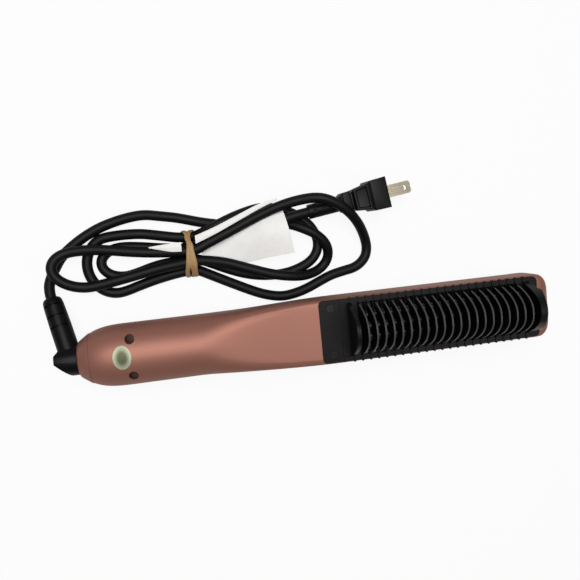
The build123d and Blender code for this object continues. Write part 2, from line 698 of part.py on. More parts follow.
def swivel_boot():
    """The wedge-shaped elbow outside the tail and its grooved strain relief, moulded in one."""
    toe_x = ELBOW_X - ELBOW_LENGTH
    outline = Polyline((ELBOW_X, -ELBOW_R), (ELBOW_X - ELBOW_HEEL, -ELBOW_R), (toe_x, ELBOW_TOE_Y),
                       (toe_x + 2.2, ELBOW_TOE_Y + 1.2), (ELBOW_X, ELBOW_R), close=True)
    block = extrude(Pos(0, 0, AXIS_Z - ELBOW_R) * make_face(outline), 2 * ELBOW_R)
    elbow = block & disc(toe_x - 1, ELBOW_X, ELBOW_R)
    elbow += disc(ELBOW_X - 1, TAIL_X + STUB_DEPTH, SPINDLE_R)
    along = Plane(origin=BOOT_START, z_dir=boot_direction())
    from_start = (Align.CENTER, Align.CENTER, Align.MIN)
    relief = along * Cone(BOOT_BASE_R, BOOT_END_R, BOOT_SPAN, align=from_start)
    relief += (along * Pos(0, 0, BOOT_SPAN - BOOT_COLLAR_LENGTH)
               * Cylinder(BOOT_COLLAR_R, BOOT_COLLAR_LENGTH, align=from_start))
    for i in range(BOOT_GROOVES):
        z = BOOT_SPAN - BOOT_COLLAR_LENGTH - BOOT_GROOVE_T / 2 - i * BOOT_GROOVE_PITCH
        groove = (Cylinder(BOOT_BASE_R + 1, BOOT_GROOVE_T)
                  - Cylinder(BOOT_END_R - BOOT_GROOVE_DEPTH, BOOT_GROOVE_T))
        relief -= along * Pos(0, 0, z) * groove
    return elbow + relief


# Cord
def corner_radii(points):
    """The largest arc that each corner's two runs allow."""
    vectors = [Vector(*p) for p in points]
    runs = [b - a for a, b in zip(vectors, vectors[1:])]
    radii = []
    for a, b in zip(runs, runs[1:]):
        half_turn = math.radians(a.get_angle(b) / 2)
        radii.append(0.45 * min(a.length, b.length) / math.tan(half_turn))
    return radii


def loop_end(centre, radii, tilt, first, last, heights):
    """Points on a tilted ellipse, evenly turned from the first to the last angle in degrees."""
    points = []
    lean = math.radians(tilt)
    for i, z in enumerate(heights):
        angle = math.radians(first + (last - first) * i / (len(heights) - 1))
        u = radii[0] * math.cos(angle)
        v = radii[1] * math.sin(angle)
        x = centre[0] + u * math.cos(lean) - v * math.sin(lean)
        y = centre[1] + u * math.sin(lean) + v * math.cos(lean)
        points.append((x, y, z))
    return points


LOW_Z = CORD_R + 0.2
BAND_LOW_Z = 4.4
BAND_HIGH_Z = 10.8
BAND_LOW_YS = (45.0, 52.0, 59.2, 66.0)
BAND_HIGH_YS = (51.0, 57.5)
BAND_X0 = BAND_X - 4.5
BAND_X1 = BAND_X + 4.5

BOOT_END = boot_end()
LEAD_TURN = BOOT_END + boot_direction() * 5.8
LEAD_ROUTE = [
    (BOOT_END.X, BOOT_END.Y, BOOT_END.Z), (LEAD_TURN.X, LEAD_TURN.Y, LEAD_TURN.Z),
    (-162.3, 49.5, 4.0), (-159, 55.5, LOW_Z), (-154.5, 62, LOW_Z), (-147, 68, LOW_Z),
    (-138, 73.5, LOW_Z), (-128, 78, LOW_Z), (-114.5, 81.4, LOW_Z), (-103, 82.6, LOW_Z),
    (-92.8, 80.6, LOW_Z)]

HANK_ROUTE = (
    [(-92.8, 80.6, LOW_Z), (-82, 78.5, LOW_Z), (-67.5, 74, LOW_Z), (-49.5, 70.5, LOW_Z),
     (-30.5, 70, LOW_Z), (-20, 69.5, 3.6), (-12, 67.5, 6.5)]
    + loop_end((-13.4, 50.5), (24.8, 15.8), -15, 80, -87, (9.9, 10.4, 8.8, 5.0, 3.1, 3.7, 6.8, 9.8))
    + [(-28, 37.5, 10), (-41.5, 42.5, 10), (-55.5, 48, 9.8), (-67.5, 50.5, 10.4)]
    + [(BAND_X1, BAND_HIGH_YS[0], BAND_HIGH_Z), (BAND_X0, BAND_HIGH_YS[0] - 0.5, BAND_HIGH_Z)]
    + [(-98.5, 48.5, 9.8), (-111.5, 46, 9.5), (-123, 44, 9.5)]
    + loop_end((-142.5, 53.1), (18.2, 11.3), -10, -53, -236, (9.5, 9.8, 10.5, 11, 11, 10.6, 9.9))
    + [(-140, 64.5, 9.5), (-128.5, 63.5, 9.5), (-112.5, 60.5, 9.5), (-97.5, 58.5, 9.8)]
    + [(BAND_X0, BAND_HIGH_YS[1], BAND_HIGH_Z), (BAND_X1, BAND_HIGH_YS[1], BAND_HIGH_Z)]
    + [(-67.5, 60.5, 10.8), (-57.5, 64.5, 11), (-45.5, 69.5, 11.4), (-32.5, 75, 12.6),
       (-19.5, 79.5, 15), (-7.5, 82, 17.6)]
    + loop_end((14.5, 60.1), (28.5, 14.8), -45, 144, 26, (19.8, 20.4, 19.0, 12.5, 5.5, 3.1))
    + [(31, 42, LOW_Z), (22.5, 40, LOW_Z), (14.3, 37.6, LOW_Z), (7, 30.3, LOW_Z), (-1.5, 25.6, LOW_Z),
       (-12.5, 22.5, LOW_Z), (-23, 22, LOW_Z), (-34.5, 25, LOW_Z), (-47, 31, LOW_Z),
       (-58.5, 37, LOW_Z), (-68, 42, 3.5)]
    + [(BAND_X1, BAND_LOW_YS[0], BAND_LOW_Z), (BAND_X0, BAND_LOW_YS[0], BAND_LOW_Z)]
    + [(-97, 42.5, 3.5), (-109, 39.5, LOW_Z)]
    + loop_end((-124, 53.7), (16.5, 18), 10, -80, -266, [LOW_Z] * 9)
    + [(-108.5, 71.5, LOW_Z), (-96, 69, 3.5)]
    + [(BAND_X0, BAND_LOW_YS[3], BAND_LOW_Z), (BAND_X1, BAND_LOW_YS[3], BAND_LOW_Z)]
    + [(-69, 67.5, 7.4), (-61.5, 70.5, 9.9), (-53, 74, 9.9), (-42.5, 77.5, 6.6)]
    + loop_end((-23.6, 59), (29.6, 20), -18, 116, -45, [3.4] + [LOW_Z] * 7)
    + [(-18.5, 36.5, LOW_Z), (-31, 36.5, LOW_Z), (-43.5, 39, LOW_Z), (-56, 44, LOW_Z), (-67, 49.5, 3.6)]
    + [(BAND_X1, BAND_LOW_YS[1], BAND_LOW_Z), (BAND_X0, BAND_LOW_YS[1], BAND_LOW_Z)]
    + [(-94.5, 51, 3.6), (-102, 49.5, LOW_Z)]
    + loop_end((-118.5, 54.8), (13.7, 9.4), -1, -56, -267, [LOW_Z] * 7)
    + [(-107.5, 63, LOW_Z), (-96, 61, 3.5)]
    + [(BAND_X0, BAND_LOW_YS[2], BAND_LOW_Z), (BAND_X1, BAND_LOW_YS[2], BAND_LOW_Z)]
    + [(-67, 60.5, 3.8), (-57.5, 61.4, 3.8)])


def plug_point(s, side, up):
    """A point s along the plug's axis from where the cord enters it."""
    yaw = math.radians(PLUG_YAW)
    return (PLUG_X + s * math.cos(yaw) - side * math.sin(yaw),
            PLUG_Y + s * math.sin(yaw) + side * math.cos(yaw), PLUG_AXIS_Z + up)


TAIL_ROUTE = [(-57.5, 61.4, 3.8), (-50, 62.11, 3.8), (-40, 63.9, 6.8), (-29.5, 67, 10.0),
              (-19.5, 70.3, 11.3), plug_point(-9.5, 0, 0), plug_point(0, 0, 0)]


def tube(name, points):
    radii = corner_radii(points)
    path = FilletPolyline(*points, radius=radii)
    solid = sweep(Plane(origin=path @ 0, z_dir=path % 0) * Circle(CORD_R), path)
    expected = math.pi * CORD_R ** 2 * path.length
    print(name, "length", round(path.length, 1), "volume ratio", round(solid.volume / expected, 4))
    print(name, "radii", [round(r, 1) for r in radii])
    return solid, path


def least_gap(path):
    """The smallest gap between stretches of the path that are a few diameters apart along it."""
    step = CORD_R / 2
    count = int(path.length / step)
    spots = [path.position_at(i / count) for i in range(count + 1)]
    near = int(7 * CORD_R / step)
    least = (1e9, None, None)
    for i, a in enumerate(spots):
        for b in spots[i + near:]:
            distance = math.hypot(a.X - b.X, a.Y - b.Y, a.Z - b.Z) - 2 * CORD_R
            if distance < least[0]:
                least = (distance, a, b)
    return least


# Plug
PLUG_PLANE = Plane(origin=plug_point(0, 0, 0), x_dir=(0, 0, 1),
                   z_dir=(math.cos(math.radians(PLUG_YAW)), math.sin(math.radians(PLUG_YAW)), 0))


def plug_boot():
    boot = Cylinder(PLUG_BOOT_R, PLUG_BOOT_LENGTH, align=(Align.CENTER, Align.CENTER, Align.MIN))
    for i in range(6):
        z = 3.0 + i * 3.6
        groove = Cylinder(PLUG_BOOT_R + 1, 1.2) - Cylinder(PLUG_BOOT_R - 0.8, 1.2)
        boot -= Pos(0, 0, z) * groove
    return PLUG_PLANE * boot


def plug_body():
    """A tapered grip with a wider flange at the face that the blades stand on."""
    start = PLUG_BOOT_LENGTH
    end = start + PLUG_BODY_LENGTH
    grip_end = end - PLUG_FLANGE_T
    near = Plane.XY.offset(start) * RectangleRounded(13.0, 11.0, 4.0)
    middle = Plane.XY.offset(start + 9) * RectangleRounded(PLUG_BODY_HEIGHT - 2, 15.5, 5.0)
    far = Plane.XY.offset(grip_end) * RectangleRounded(PLUG_BODY_HEIGHT - 2, 16.5, 5.0)
    grip = loft([near, middle, far])
    flange = extrude(Plane.XY.offset(grip_end)
                     * RectangleRounded(PLUG_BODY_HEIGHT, PLUG_BODY_WIDTH, 6.0), PLUG_FLANGE_T)
    return PLUG_PLANE * (grip + flange)


def plug_blades():
    face = PLUG_BOOT_LENGTH + PLUG_BODY_LENGTH
    blades = []
    for side, width in zip((1, -1), BLADE_WIDTHS):
        blade = Pos(side * BLADE_SPACING / 2, 0, face + BLADE_LENGTH / 2) * Box(BLADE_T, width, BLADE_LENGTH)
        tips = blade.faces().sort_by(Axis.Z)[-1].edges().filter_by(Axis.X)
        blade = chamfer(tips, 1.2)
        hole = Rot(0, 90, 0) * Cylinder(BLADE_HOLE_R, 3 * BLADE_T)
        blade -= Pos(side * BLADE_SPACING / 2, 0, face + BLADE_LENGTH - 4.0) * hole
        blades.append(PLUG_PLANE * blade)
    return blades


# Band and tag
def rubber_band():
    """A flat band drawn round the six strands at the waist."""
    corners = [(BAND_LOW_YS[0], BAND_LOW_Z), (BAND_LOW_YS[3], BAND_LOW_Z),
               (BAND_HIGH_YS[1], BAND_HIGH_Z), (BAND_HIGH_YS[0] - 0.25, BAND_HIGH_Z)]
    core = make_face(Polyline(*corners, close=True))
    inner = offset(core, CORD_R + BAND_FIT, kind=Kind.ARC)
    outer = offset(core, CORD_R + BAND_FIT + BAND_T, kind=Kind.ARC)
    plane = Plane(origin=(BAND_X - BAND_WIDTH / 2, 0, 0), x_dir=(0, 1, 0), z_dir=(1, 0, 0))
    band = extrude(plane * (outer - inner), BAND_WIDTH)
    return band - box(BAND_X - 9, BAND_X + 9, 30, 90, -2, 0.1)


def tag_sheet(corners):
    """A thin sheet through four corners, given round its edge."""
    low = [Vector(*p) for p in corners]
    lift = Vector(0, 0, TAG_T)
    near = Polyline(low[0], low[1], low[1] + lift, low[0] + lift, close=True)
    far = Polyline(low[3], low[2], low[2] + lift, low[3] + lift, close=True)
    return Solid.make_loft([near.wires()[0], far.wires()[0]], ruled=True)


def cord_tag():
    """A white sheet under the band: its flag, the fold beside a strand, and the end past the band."""
    flag = tag_sheet([(-63.0, 52.8, 14.0), (-12.4, 49.7, 13.8), (-17.0, 76.3, 15.3), (-62.0, 57.5, 14.0)])
    fold = tag_sheet([(-73.1, 65.8, 14.3), (-20.4, 84.2, 14.7), (-19.9, 82.8, 14.7), (-73.6, 61.3, 14.3)])
    end = tag_sheet([(-99.8, 62.4, 14.0), (-82.3, 63.3, 14.2), (-82.9, 58.0, 14.2), (-93.5, 59.3, 14.0)])
    return [flag, fold, end]


def main():
    save("front_shell", front_shell())
    save("back_shell", back_shell())
    save("tail_cap", tail_cap())
    save("rating_sticker", rating_sticker())
    save("guard_frame", guard_frame())
    save("guard_fins", *guard_fins())
    save("guard_end_blocks", *guard_end_blocks())
    save("heating_base", heating_base())
    save("heated_fins", *heated_fins())
    save("ptc_heaters", *ptc_heaters())
    save("insulation_sheet", stack_plate(CLAMP_TOP_Z, SHEET_TOP_Z))
    save("clamp_plate", stack_plate(TRAY_FLOOR_Z, CLAMP_TOP_Z))
    save("thermal_fuse", thermal_fuse())
    save("thermistor", thermistor())
    save("heater_tray", heater_tray())
    save("heater_wires", *heater_wires())
    save("supply_wires", *supply_wires())
    save("comb_screws", *[screw(x, y, GUARD_TOP_Z - SCREW_HEAD_T, COMB_BOSS_Z + 1, SCREW_HEAD_R,
                                SCREW_HEAD_T) for x, y in comb_screw_places()])
    save("handle_screws", *[screw(HANDLE_SCREW_X, y, HANDLE_SCREW_HEAD_Z, HANDLE_SCREW_END_Z,
                                  HANDLE_SCREW_HEAD_R, HANDLE_SCREW_HEAD_T) for y in (HANDLE_SCREW_Y, -HANDLE_SCREW_Y)])
    save("tray_screws", *[screw(x, y, TRAY_FLOOR_Z, TRAY_SCREW_END_Z, SCREW_HEAD_R, SCREW_HEAD_T)
                          for x, y in tray_screw_places()])
    save("board_screws", *[screw(x, y, BOARD_Z + BOARD_T, 3.0, SCREW_HEAD_R, SCREW_HEAD_T)
                           for x, y in board_screw_places()])
    save("control_board", control_board())
    save("capacitor", capacitor())
    save("triac", triac())
    save("control_panel", control_panel())
    save("display_window", display_window())
    save("display_module", display_module())
    save("tact_switches", *tact_switches())
    for name, x in button_xs().items():
        save(name, button(x))
    save("contact_block", contact_block())
    save("contact_leaves", *contact_leaves())
    save("swivel_spindle", swivel_spindle())
    save("swivel_clip", swivel_clip())
    save("slip_rings", *slip_rings())
    save("swivel_boot", swivel_boot())
    for name, route in (("cord_lead", LEAD_ROUTE), ("cord_hank", HANK_ROUTE), ("cord_tail", TAIL_ROUTE)):
        solid, path = tube(name, route)
        save(name, solid)
        if name == "cord_hank":
            gap, a, b = least_gap(path)
            print("hank's least gap to itself", round(gap, 2), "between", a, b)
    save("plug_boot", plug_boot())
    save("plug_body", plug_body())
    save("plug_blades", *plug_blades())
    save("rubber_band", rubber_band())
    save("cord_tag", *cord_tag())


main()
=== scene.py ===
import math
import bpy
from mathutils import Matrix, Vector


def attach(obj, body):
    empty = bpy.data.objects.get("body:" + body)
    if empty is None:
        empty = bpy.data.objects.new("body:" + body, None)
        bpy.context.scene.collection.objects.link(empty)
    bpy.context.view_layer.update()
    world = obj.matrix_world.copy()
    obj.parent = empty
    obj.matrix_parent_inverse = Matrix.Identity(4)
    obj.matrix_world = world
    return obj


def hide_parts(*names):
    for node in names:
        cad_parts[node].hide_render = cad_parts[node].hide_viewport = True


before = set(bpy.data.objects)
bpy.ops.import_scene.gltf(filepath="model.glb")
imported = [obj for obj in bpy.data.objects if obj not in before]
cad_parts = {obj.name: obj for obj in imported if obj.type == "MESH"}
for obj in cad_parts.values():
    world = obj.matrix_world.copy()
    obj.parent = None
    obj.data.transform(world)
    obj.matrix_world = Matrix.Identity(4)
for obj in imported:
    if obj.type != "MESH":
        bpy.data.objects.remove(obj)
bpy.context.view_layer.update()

# The camera looks almost straight down from a little towards the tail and the cord's side,
# about 0.4 m up, as in the photograph. Its focal length is written in photograph pixels.
PHOTO_WIDTH_PX = 580
FOCAL_LENGTH_PX = 640
CAMERA_RIGHT = (0.98300, -0.10023, 0.15386)
CAMERA_UP = (0.11392, 0.99003, -0.08290)
CAMERA_BACK = (-0.14402, 0.09902, 0.98461)
CAMERA_PLACE = (-0.07604, 0.06651, 0.41093)

camera_data = bpy.data.cameras.new("photo_camera")
camera_data.sensor_width = 36
camera_data.lens = camera_data.sensor_width * FOCAL_LENGTH_PX / PHOTO_WIDTH_PX
camera = bpy.data.objects.new("photo_camera", camera_data)
bpy.context.collection.objects.link(camera)
axes = Matrix((CAMERA_RIGHT, CAMERA_UP, CAMERA_BACK)).transposed().to_4x4()
camera.matrix_world = Matrix.Translation(CAMERA_PLACE) @ axes
bpy.context.scene.camera = camera


# The mains lead is one length of round black PVC flex. It leaves the strain relief at the tail,
# goes three times round a loose hank whose waist a rubber band holds, and ends in the plug.
MM = 0.001
CORD_RADIUS = 3.2
# Heights of the cord's middle on the table, and at the band in the lower and the upper layer.
CORD_LOW = 3.3
BAND_LOW = 4.4
BAND_HIGH = 10.8
# Where the strands enter the band on its two sides.
BAND_LEFT = -82.5
BAND_RIGHT = -73.5
# Where the cord enters the plug's strain relief, and how the plug is turned on the table.
PLUG_ENTRY = (-1.0, 74.0, 11.4)
PLUG_YAW = math.radians(8.7)


def loop_end(centre, radii, tilt, first, last, heights):
    """Points on a tilted ellipse, evenly turned from the first to the last angle in degrees."""
    points = []
    lean = math.radians(tilt)
    for i, z in enumerate(heights):
        angle = math.radians(first + (last - first) * i / (len(heights) - 1))
        u = radii[0] * math.cos(angle)
        v = radii[1] * math.sin(angle)
        x = centre[0] + u * math.cos(lean) - v * math.sin(lean)
        y = centre[1] + u * math.sin(lean) + v * math.cos(lean)
        points.append((x, y, z))
    return points


def plug_point(along):
    """A point on the plug's axis, so far past the cord's entry, in millimetres."""
    return (PLUG_ENTRY[0] + along * math.cos(PLUG_YAW),
            PLUG_ENTRY[1] + along * math.sin(PLUG_YAW), PLUG_ENTRY[2])


route = (
    # Down from the strain relief to the table, and along the far side, outside the band.
    [(-162.816, 37.739, 7.873), (-163.952, 43.225, 6.372), (-162.3, 49.5, 4.0),
     (-159, 55.5, CORD_LOW), (-154.5, 62, CORD_LOW), (-147, 68, CORD_LOW), (-138, 73.5, CORD_LOW),
     (-128, 78, CORD_LOW), (-114.5, 81.4, CORD_LOW), (-103, 82.6, CORD_LOW), (-92.8, 80.6, CORD_LOW),
     (-82, 78.5, CORD_LOW), (-67.5, 74, CORD_LOW), (-49.5, 70.5, CORD_LOW),
     (-30.5, 70, CORD_LOW), (-20, 69.5, 3.6), (-12, 67.5, 6.5)]
    # The first turn at the right, and back through the band's upper layer.
    + loop_end((-13.4, 50.5), (24.8, 15.8), -15, 80, -87, (9.9, 10.4, 8.8, 5.0, 3.1, 3.7, 6.8, 9.8))
    + [(-28, 37.5, 10), (-41.5, 42.5, 10), (-55.5, 48, 9.8), (-67.5, 50.5, 10.4),
       (BAND_RIGHT, 51, BAND_HIGH), (BAND_LEFT, 50.5, BAND_HIGH),
       (-98.5, 48.5, 9.8), (-111.5, 46, 9.5), (-123, 44, 9.5)]
    # The first turn at the left, and through the upper layer again.
    + loop_end((-142.5, 53.1), (18.2, 11.3), -10, -53, -236, (9.5, 9.8, 10.5, 11, 11, 10.6, 9.9))
    + [(-140, 64.5, 9.5), (-128.5, 63.5, 9.5), (-112.5, 60.5, 9.5), (-97.5, 58.5, 9.8),
       (BAND_LEFT, 57.5, BAND_HIGH), (BAND_RIGHT, 57.5, BAND_HIGH),
       (-67.5, 60.5, 10.8), (-57.5, 64.5, 11), (-45.5, 69.5, 11.4), (-32.5, 75, 12.6),
       (-19.5, 79.5, 15), (-7.5, 82, 17.6)]
    # The widest turn at the right, over the plug's strain relief and down beside the brush.
    + loop_end((14.5, 60.1), (28.5, 14.8), -45, 144, 26, (19.8, 20.4, 19.0, 12.5, 5.5, 3.1))
    + [(34.5, 40, CORD_LOW), (28, 35.4, CORD_LOW), (19.5, 34, CORD_LOW), (11, 32.2, CORD_LOW),
       (2.5, 28.6, CORD_LOW), (-6, 25, CORD_LOW), (-14.5, 22.8, CORD_LOW), (-23, 22, CORD_LOW),
       (-34.5, 25, CORD_LOW), (-47, 31, CORD_LOW), (-58.5, 37, CORD_LOW), (-68, 42, 3.5),
       (BAND_RIGHT, 45, BAND_LOW), (BAND_LEFT, 45, BAND_LOW),
       (-97, 42.5, 3.5), (-109, 39.5, CORD_LOW)]
    # The second turn at the left, on the table.
    + loop_end((-124, 53.7), (16.5, 18), 10, -80, -266, [CORD_LOW] * 9)
    + [(-108.5, 71.5, CORD_LOW), (-96, 69, 3.5),
       (BAND_LEFT, 66, BAND_LOW), (BAND_RIGHT, 66, BAND_LOW),
       (-69, 67.5, 7.4), (-61.5, 70.5, 9.9), (-53, 74, 9.9), (-42.5, 77.5, 6.6)]
    # The third turn at the right, on the table.
    + loop_end((-23.6, 59), (29.6, 20), -18, 116, -45, [3.4] + [CORD_LOW] * 7)
    + [(-18.5, 36.5, CORD_LOW), (-31, 36.5, CORD_LOW), (-43.5, 39, CORD_LOW), (-56, 44, CORD_LOW),
       (-67, 49.5, 3.6), (BAND_RIGHT, 52, BAND_LOW), (BAND_LEFT, 52, BAND_LOW),
       (-94.5, 51, 3.6), (-102, 49.5, CORD_LOW)]
    # The third and smallest turn at the left, and out to the plug.
    + loop_end((-118.5, 54.8), (13.7, 9.4), -1, -56, -267, [CORD_LOW] * 7)
    + [(-107.5, 63, CORD_LOW), (-96, 61, 3.5),
       (BAND_LEFT, 59.2, BAND_LOW), (BAND_RIGHT, 59.2, BAND_LOW),
       (-67, 60.5, 3.8), (-57.5, 61.4, 3.8), (-50, 62.11, 3.8), (-40, 63.9, 6.8), (-29.5, 67, 10.0),
       (-19.5, 70.3, 11.3), plug_point(-9.5), plug_point(0)])

cord_curve = bpy.data.curves.new("mains_cord", "CURVE")
cord_curve.dimensions = "3D"
cord_curve.resolution_u = 8
cord_curve.bevel_depth = CORD_RADIUS * MM
cord_curve.bevel_resolution = 5
cord_curve.use_fill_caps = True
cord_line = cord_curve.splines.new("NURBS")
cord_line.points.add(len(route) - 1)
for point, (x, y, z) in zip(cord_line.points, route):
    point.co = (x * MM, y * MM, z * MM, 1)
cord_line.order_u = 3
cord_line.use_endpoint_u = True
cord = bpy.data.objects.new("mains_cord", cord_curve)
bpy.context.collection.objects.link(cord)


def colour(hex_value):
    """An sRGB hex value as a linear colour."""
    channels = [int(hex_value[i:i + 2], 16) / 255 for i in (0, 2, 4)]
    linear = [c / 12.92 if c <= 0.04045 else ((c + 0.055) / 1.055) ** 2.4 for c in channels]
    return (*linear, 1.0)


def new_material(name):
    """A material with an empty node tree."""
    material = bpy.data.materials.new(name)
    material.use_nodes = True
    material.node_tree.nodes.clear()
    return material


def add_node(material, kind, settings=None, inputs=None):
    """Adds a shader node. An input is given a value, or a pair of another node and its output."""
    tree = material.node_tree
    made = tree.nodes.new(kind)
    for name, value in (settings or {}).items():
        setattr(made, name, value)
    for socket, value in (inputs or {}).items():
        if isinstance(value, tuple) and isinstance(value[0], bpy.types.Node):
            tree.links.new(value[0].outputs[value[1]], made.inputs[socket])
        else:
            made.inputs[socket].default_value = value
    return made


# Flexible PVC, extruded: a satin black sheath whose skin is slightly uneven and dull in patches.
# A pattern's scale is in repeats per metre: 90 gives patches of 11 mm, and 900 a grain of about
# a millimetre, which is coarser than the real one so that it shows.
cord_pvc = new_material("extruded_black_pvc")
place = add_node(cord_pvc, "ShaderNodeTexCoord")
patches = add_node(cord_pvc, "ShaderNodeTexNoise", {},
                   {"Vector": (place, "Object"), "Scale": 90.0, "Detail": 3.0})
tone = add_node(cord_pvc, "ShaderNodeMix", {"data_type": "RGBA"},
                {0: (patches, "Fac"), 6: colour("050506"), 7: colour("0c0c0e")})
gloss = add_node(cord_pvc, "ShaderNodeMapRange", {},
                 {"Value": (patches, "Fac"), "To Min": 0.42, "To Max": 0.58})
grain = add_node(cord_pvc, "ShaderNodeTexNoise", {},
                 {"Vector": (place, "Object"), "Scale": 900.0, "Detail": 2.0})
bump = add_node(cord_pvc, "ShaderNodeBump", {},
                {"Height": (grain, "Fac"), "Strength": 0.12, "Distance": 0.0002})
skin = add_node(cord_pvc, "ShaderNodeBsdfPrincipled", {},
                {"Base Color": (tone, 2), "Roughness": (gloss, "Result"), "Normal": (bump, "Normal"),
                 "IOR": 1.5, "Specular IOR Level": 0.17})
add_node(cord_pvc, "ShaderNodeOutputMaterial", {}, {"Surface": (skin, "BSDF")})

cord.data.materials.append(cord_pvc)
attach(cord, "cord_swivel")
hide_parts("cord_lead", "cord_hank", "cord_tail")


# Front and back shells, and the tail's cap: injection-moulded ABS halves, sprayed with a satin
# rose-gold paint whose metal flakes show as a soft sparkle, and screwed together from the front.
# The halves meet at the height of the handle's axis.
HANDLE_AXIS_Z = 18.2
JOINT_WIDTH = 0.3


def dress(node_names, material):
    """Gives a material to each slot of the named CAD nodes."""
    for node_name in node_names:
        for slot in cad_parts[node_name].material_slots:
            slot.material = material


# Metallic paint, sprayed: the colour drifts a little in the coat, the flakes break the
# gloss, and the joint of the two halves is a hair-wide dark line along each side.
shell_paint = new_material("satin_rose_gold_paint")
place = add_node(shell_paint, "ShaderNodeTexCoord")
drift = add_node(shell_paint, "ShaderNodeTexNoise", {},
                 {"Vector": (place, "Object"), "Scale": 14.0, "Detail": 2.0})
flakes = add_node(shell_paint, "ShaderNodeTexNoise", {},
                  {"Vector": (place, "Object"), "Scale": 1600.0, "Detail": 2.0})
tone = add_node(shell_paint, "ShaderNodeMix", {"data_type": "RGBA"},
                {0: (drift, "Fac"), 6: colour("8f5f50"), 7: colour("9c6b5d")})
spot = add_node(shell_paint, "ShaderNodeSeparateXYZ", {}, {0: (place, "Object")})
above = add_node(shell_paint, "ShaderNodeMath", {"operation": "SUBTRACT"},
                 {0: (spot, "Z"), 1: HANDLE_AXIS_Z * MM})
off_joint = add_node(shell_paint, "ShaderNodeMath", {"operation": "ABSOLUTE"}, {0: (above, 0)})
joint = add_node(shell_paint, "ShaderNodeMath", {"operation": "LESS_THAN"},
                 {0: (off_joint, 0), 1: JOINT_WIDTH / 2 * MM})
tone = add_node(shell_paint, "ShaderNodeMix", {"data_type": "RGBA"},
                {0: (joint, 0), 6: (tone, 2), 7: colour("3a211b")})
sparkle = add_node(shell_paint, "ShaderNodeMapRange", {},
                   {"Value": (flakes, "Fac"), "To Min": 0.46, "To Max": 0.6})
bump = add_node(shell_paint, "ShaderNodeBump", {},
                {"Height": (flakes, "Fac"), "Strength": 0.1, "Distance": 0.0001})
paint = add_node(shell_paint, "ShaderNodeBsdfPrincipled", {},
                 {"Base Color": (tone, 2), "Roughness": (sparkle, "Result"),
                  "Normal": (bump, "Normal"), "Metallic": 0.55})
add_node(shell_paint, "ShaderNodeOutputMaterial", {}, {"Surface": (paint, "BSDF")})
dress(("front_shell", "back_shell", "tail_cap"), shell_paint)


# The oval label on the handle: a metallised film sticker, left bare, pressed on by hand.
# Its spread is one over the oval's half length and half width in metres, so its edge is at 1.
STICKER_CENTRE = (-0.1225, 0.001, 0.0)
STICKER_SPREAD = (190.0, 143.0, 1.0)

# Holographic film: olive in the middle, pale silver-green towards the rim, with a rolled sheen
# whose spots are a fourteenth of the oval's half size.
label_film = new_material("metallised_label_film")
place = add_node(label_film, "ShaderNodeTexCoord")
centred = add_node(label_film, "ShaderNodeVectorMath", {"operation": "SUBTRACT"},
                   {0: (place, "Object"), 1: STICKER_CENTRE})
scaled = add_node(label_film, "ShaderNodeVectorMath", {"operation": "MULTIPLY"},
                  {0: (centred, "Vector"), 1: STICKER_SPREAD})
flat = add_node(label_film, "ShaderNodeVectorMath", {"operation": "MULTIPLY"},
                {0: (scaled, "Vector"), 1: (1.0, 1.0, 0.0)})
reach = add_node(label_film, "ShaderNodeVectorMath", {"operation": "LENGTH"}, {0: (flat, "Vector")})
rim = add_node(label_film, "ShaderNodeMapRange", {"interpolation_type": "SMOOTHSTEP"},
               {"Value": (reach, "Value"), "From Min": 0.35, "From Max": 0.95})
tone = add_node(label_film, "ShaderNodeMix", {"data_type": "RGBA"},
                {0: (rim, "Result"), 6: colour("4f5230"), 7: colour("a5aa90")})
brushed = add_node(label_film, "ShaderNodeTexNoise", {},
                   {"Vector": (scaled, "Vector"), "Scale": 14.0, "Detail": 3.0})
gloss = add_node(label_film, "ShaderNodeMapRange", {},
                 {"Value": (brushed, "Fac"), "To Min": 0.42, "To Max": 0.6})
film = add_node(label_film, "ShaderNodeBsdfPrincipled", {},
                {"Base Color": (tone, 2), "Roughness": (gloss, "Result"), "Metallic": 0.3})
add_node(label_film, "ShaderNodeOutputMaterial", {}, {"Surface": (film, "BSDF")})
dress(("rating_sticker",), label_film)


# The comb guard: a plate with ribs, its tall arched fins and the block at each end, moulded in
# black glass-filled nylon that stays cool enough to touch, and held by four screws.
FIN_FOOT_HEIGHT = 36.5

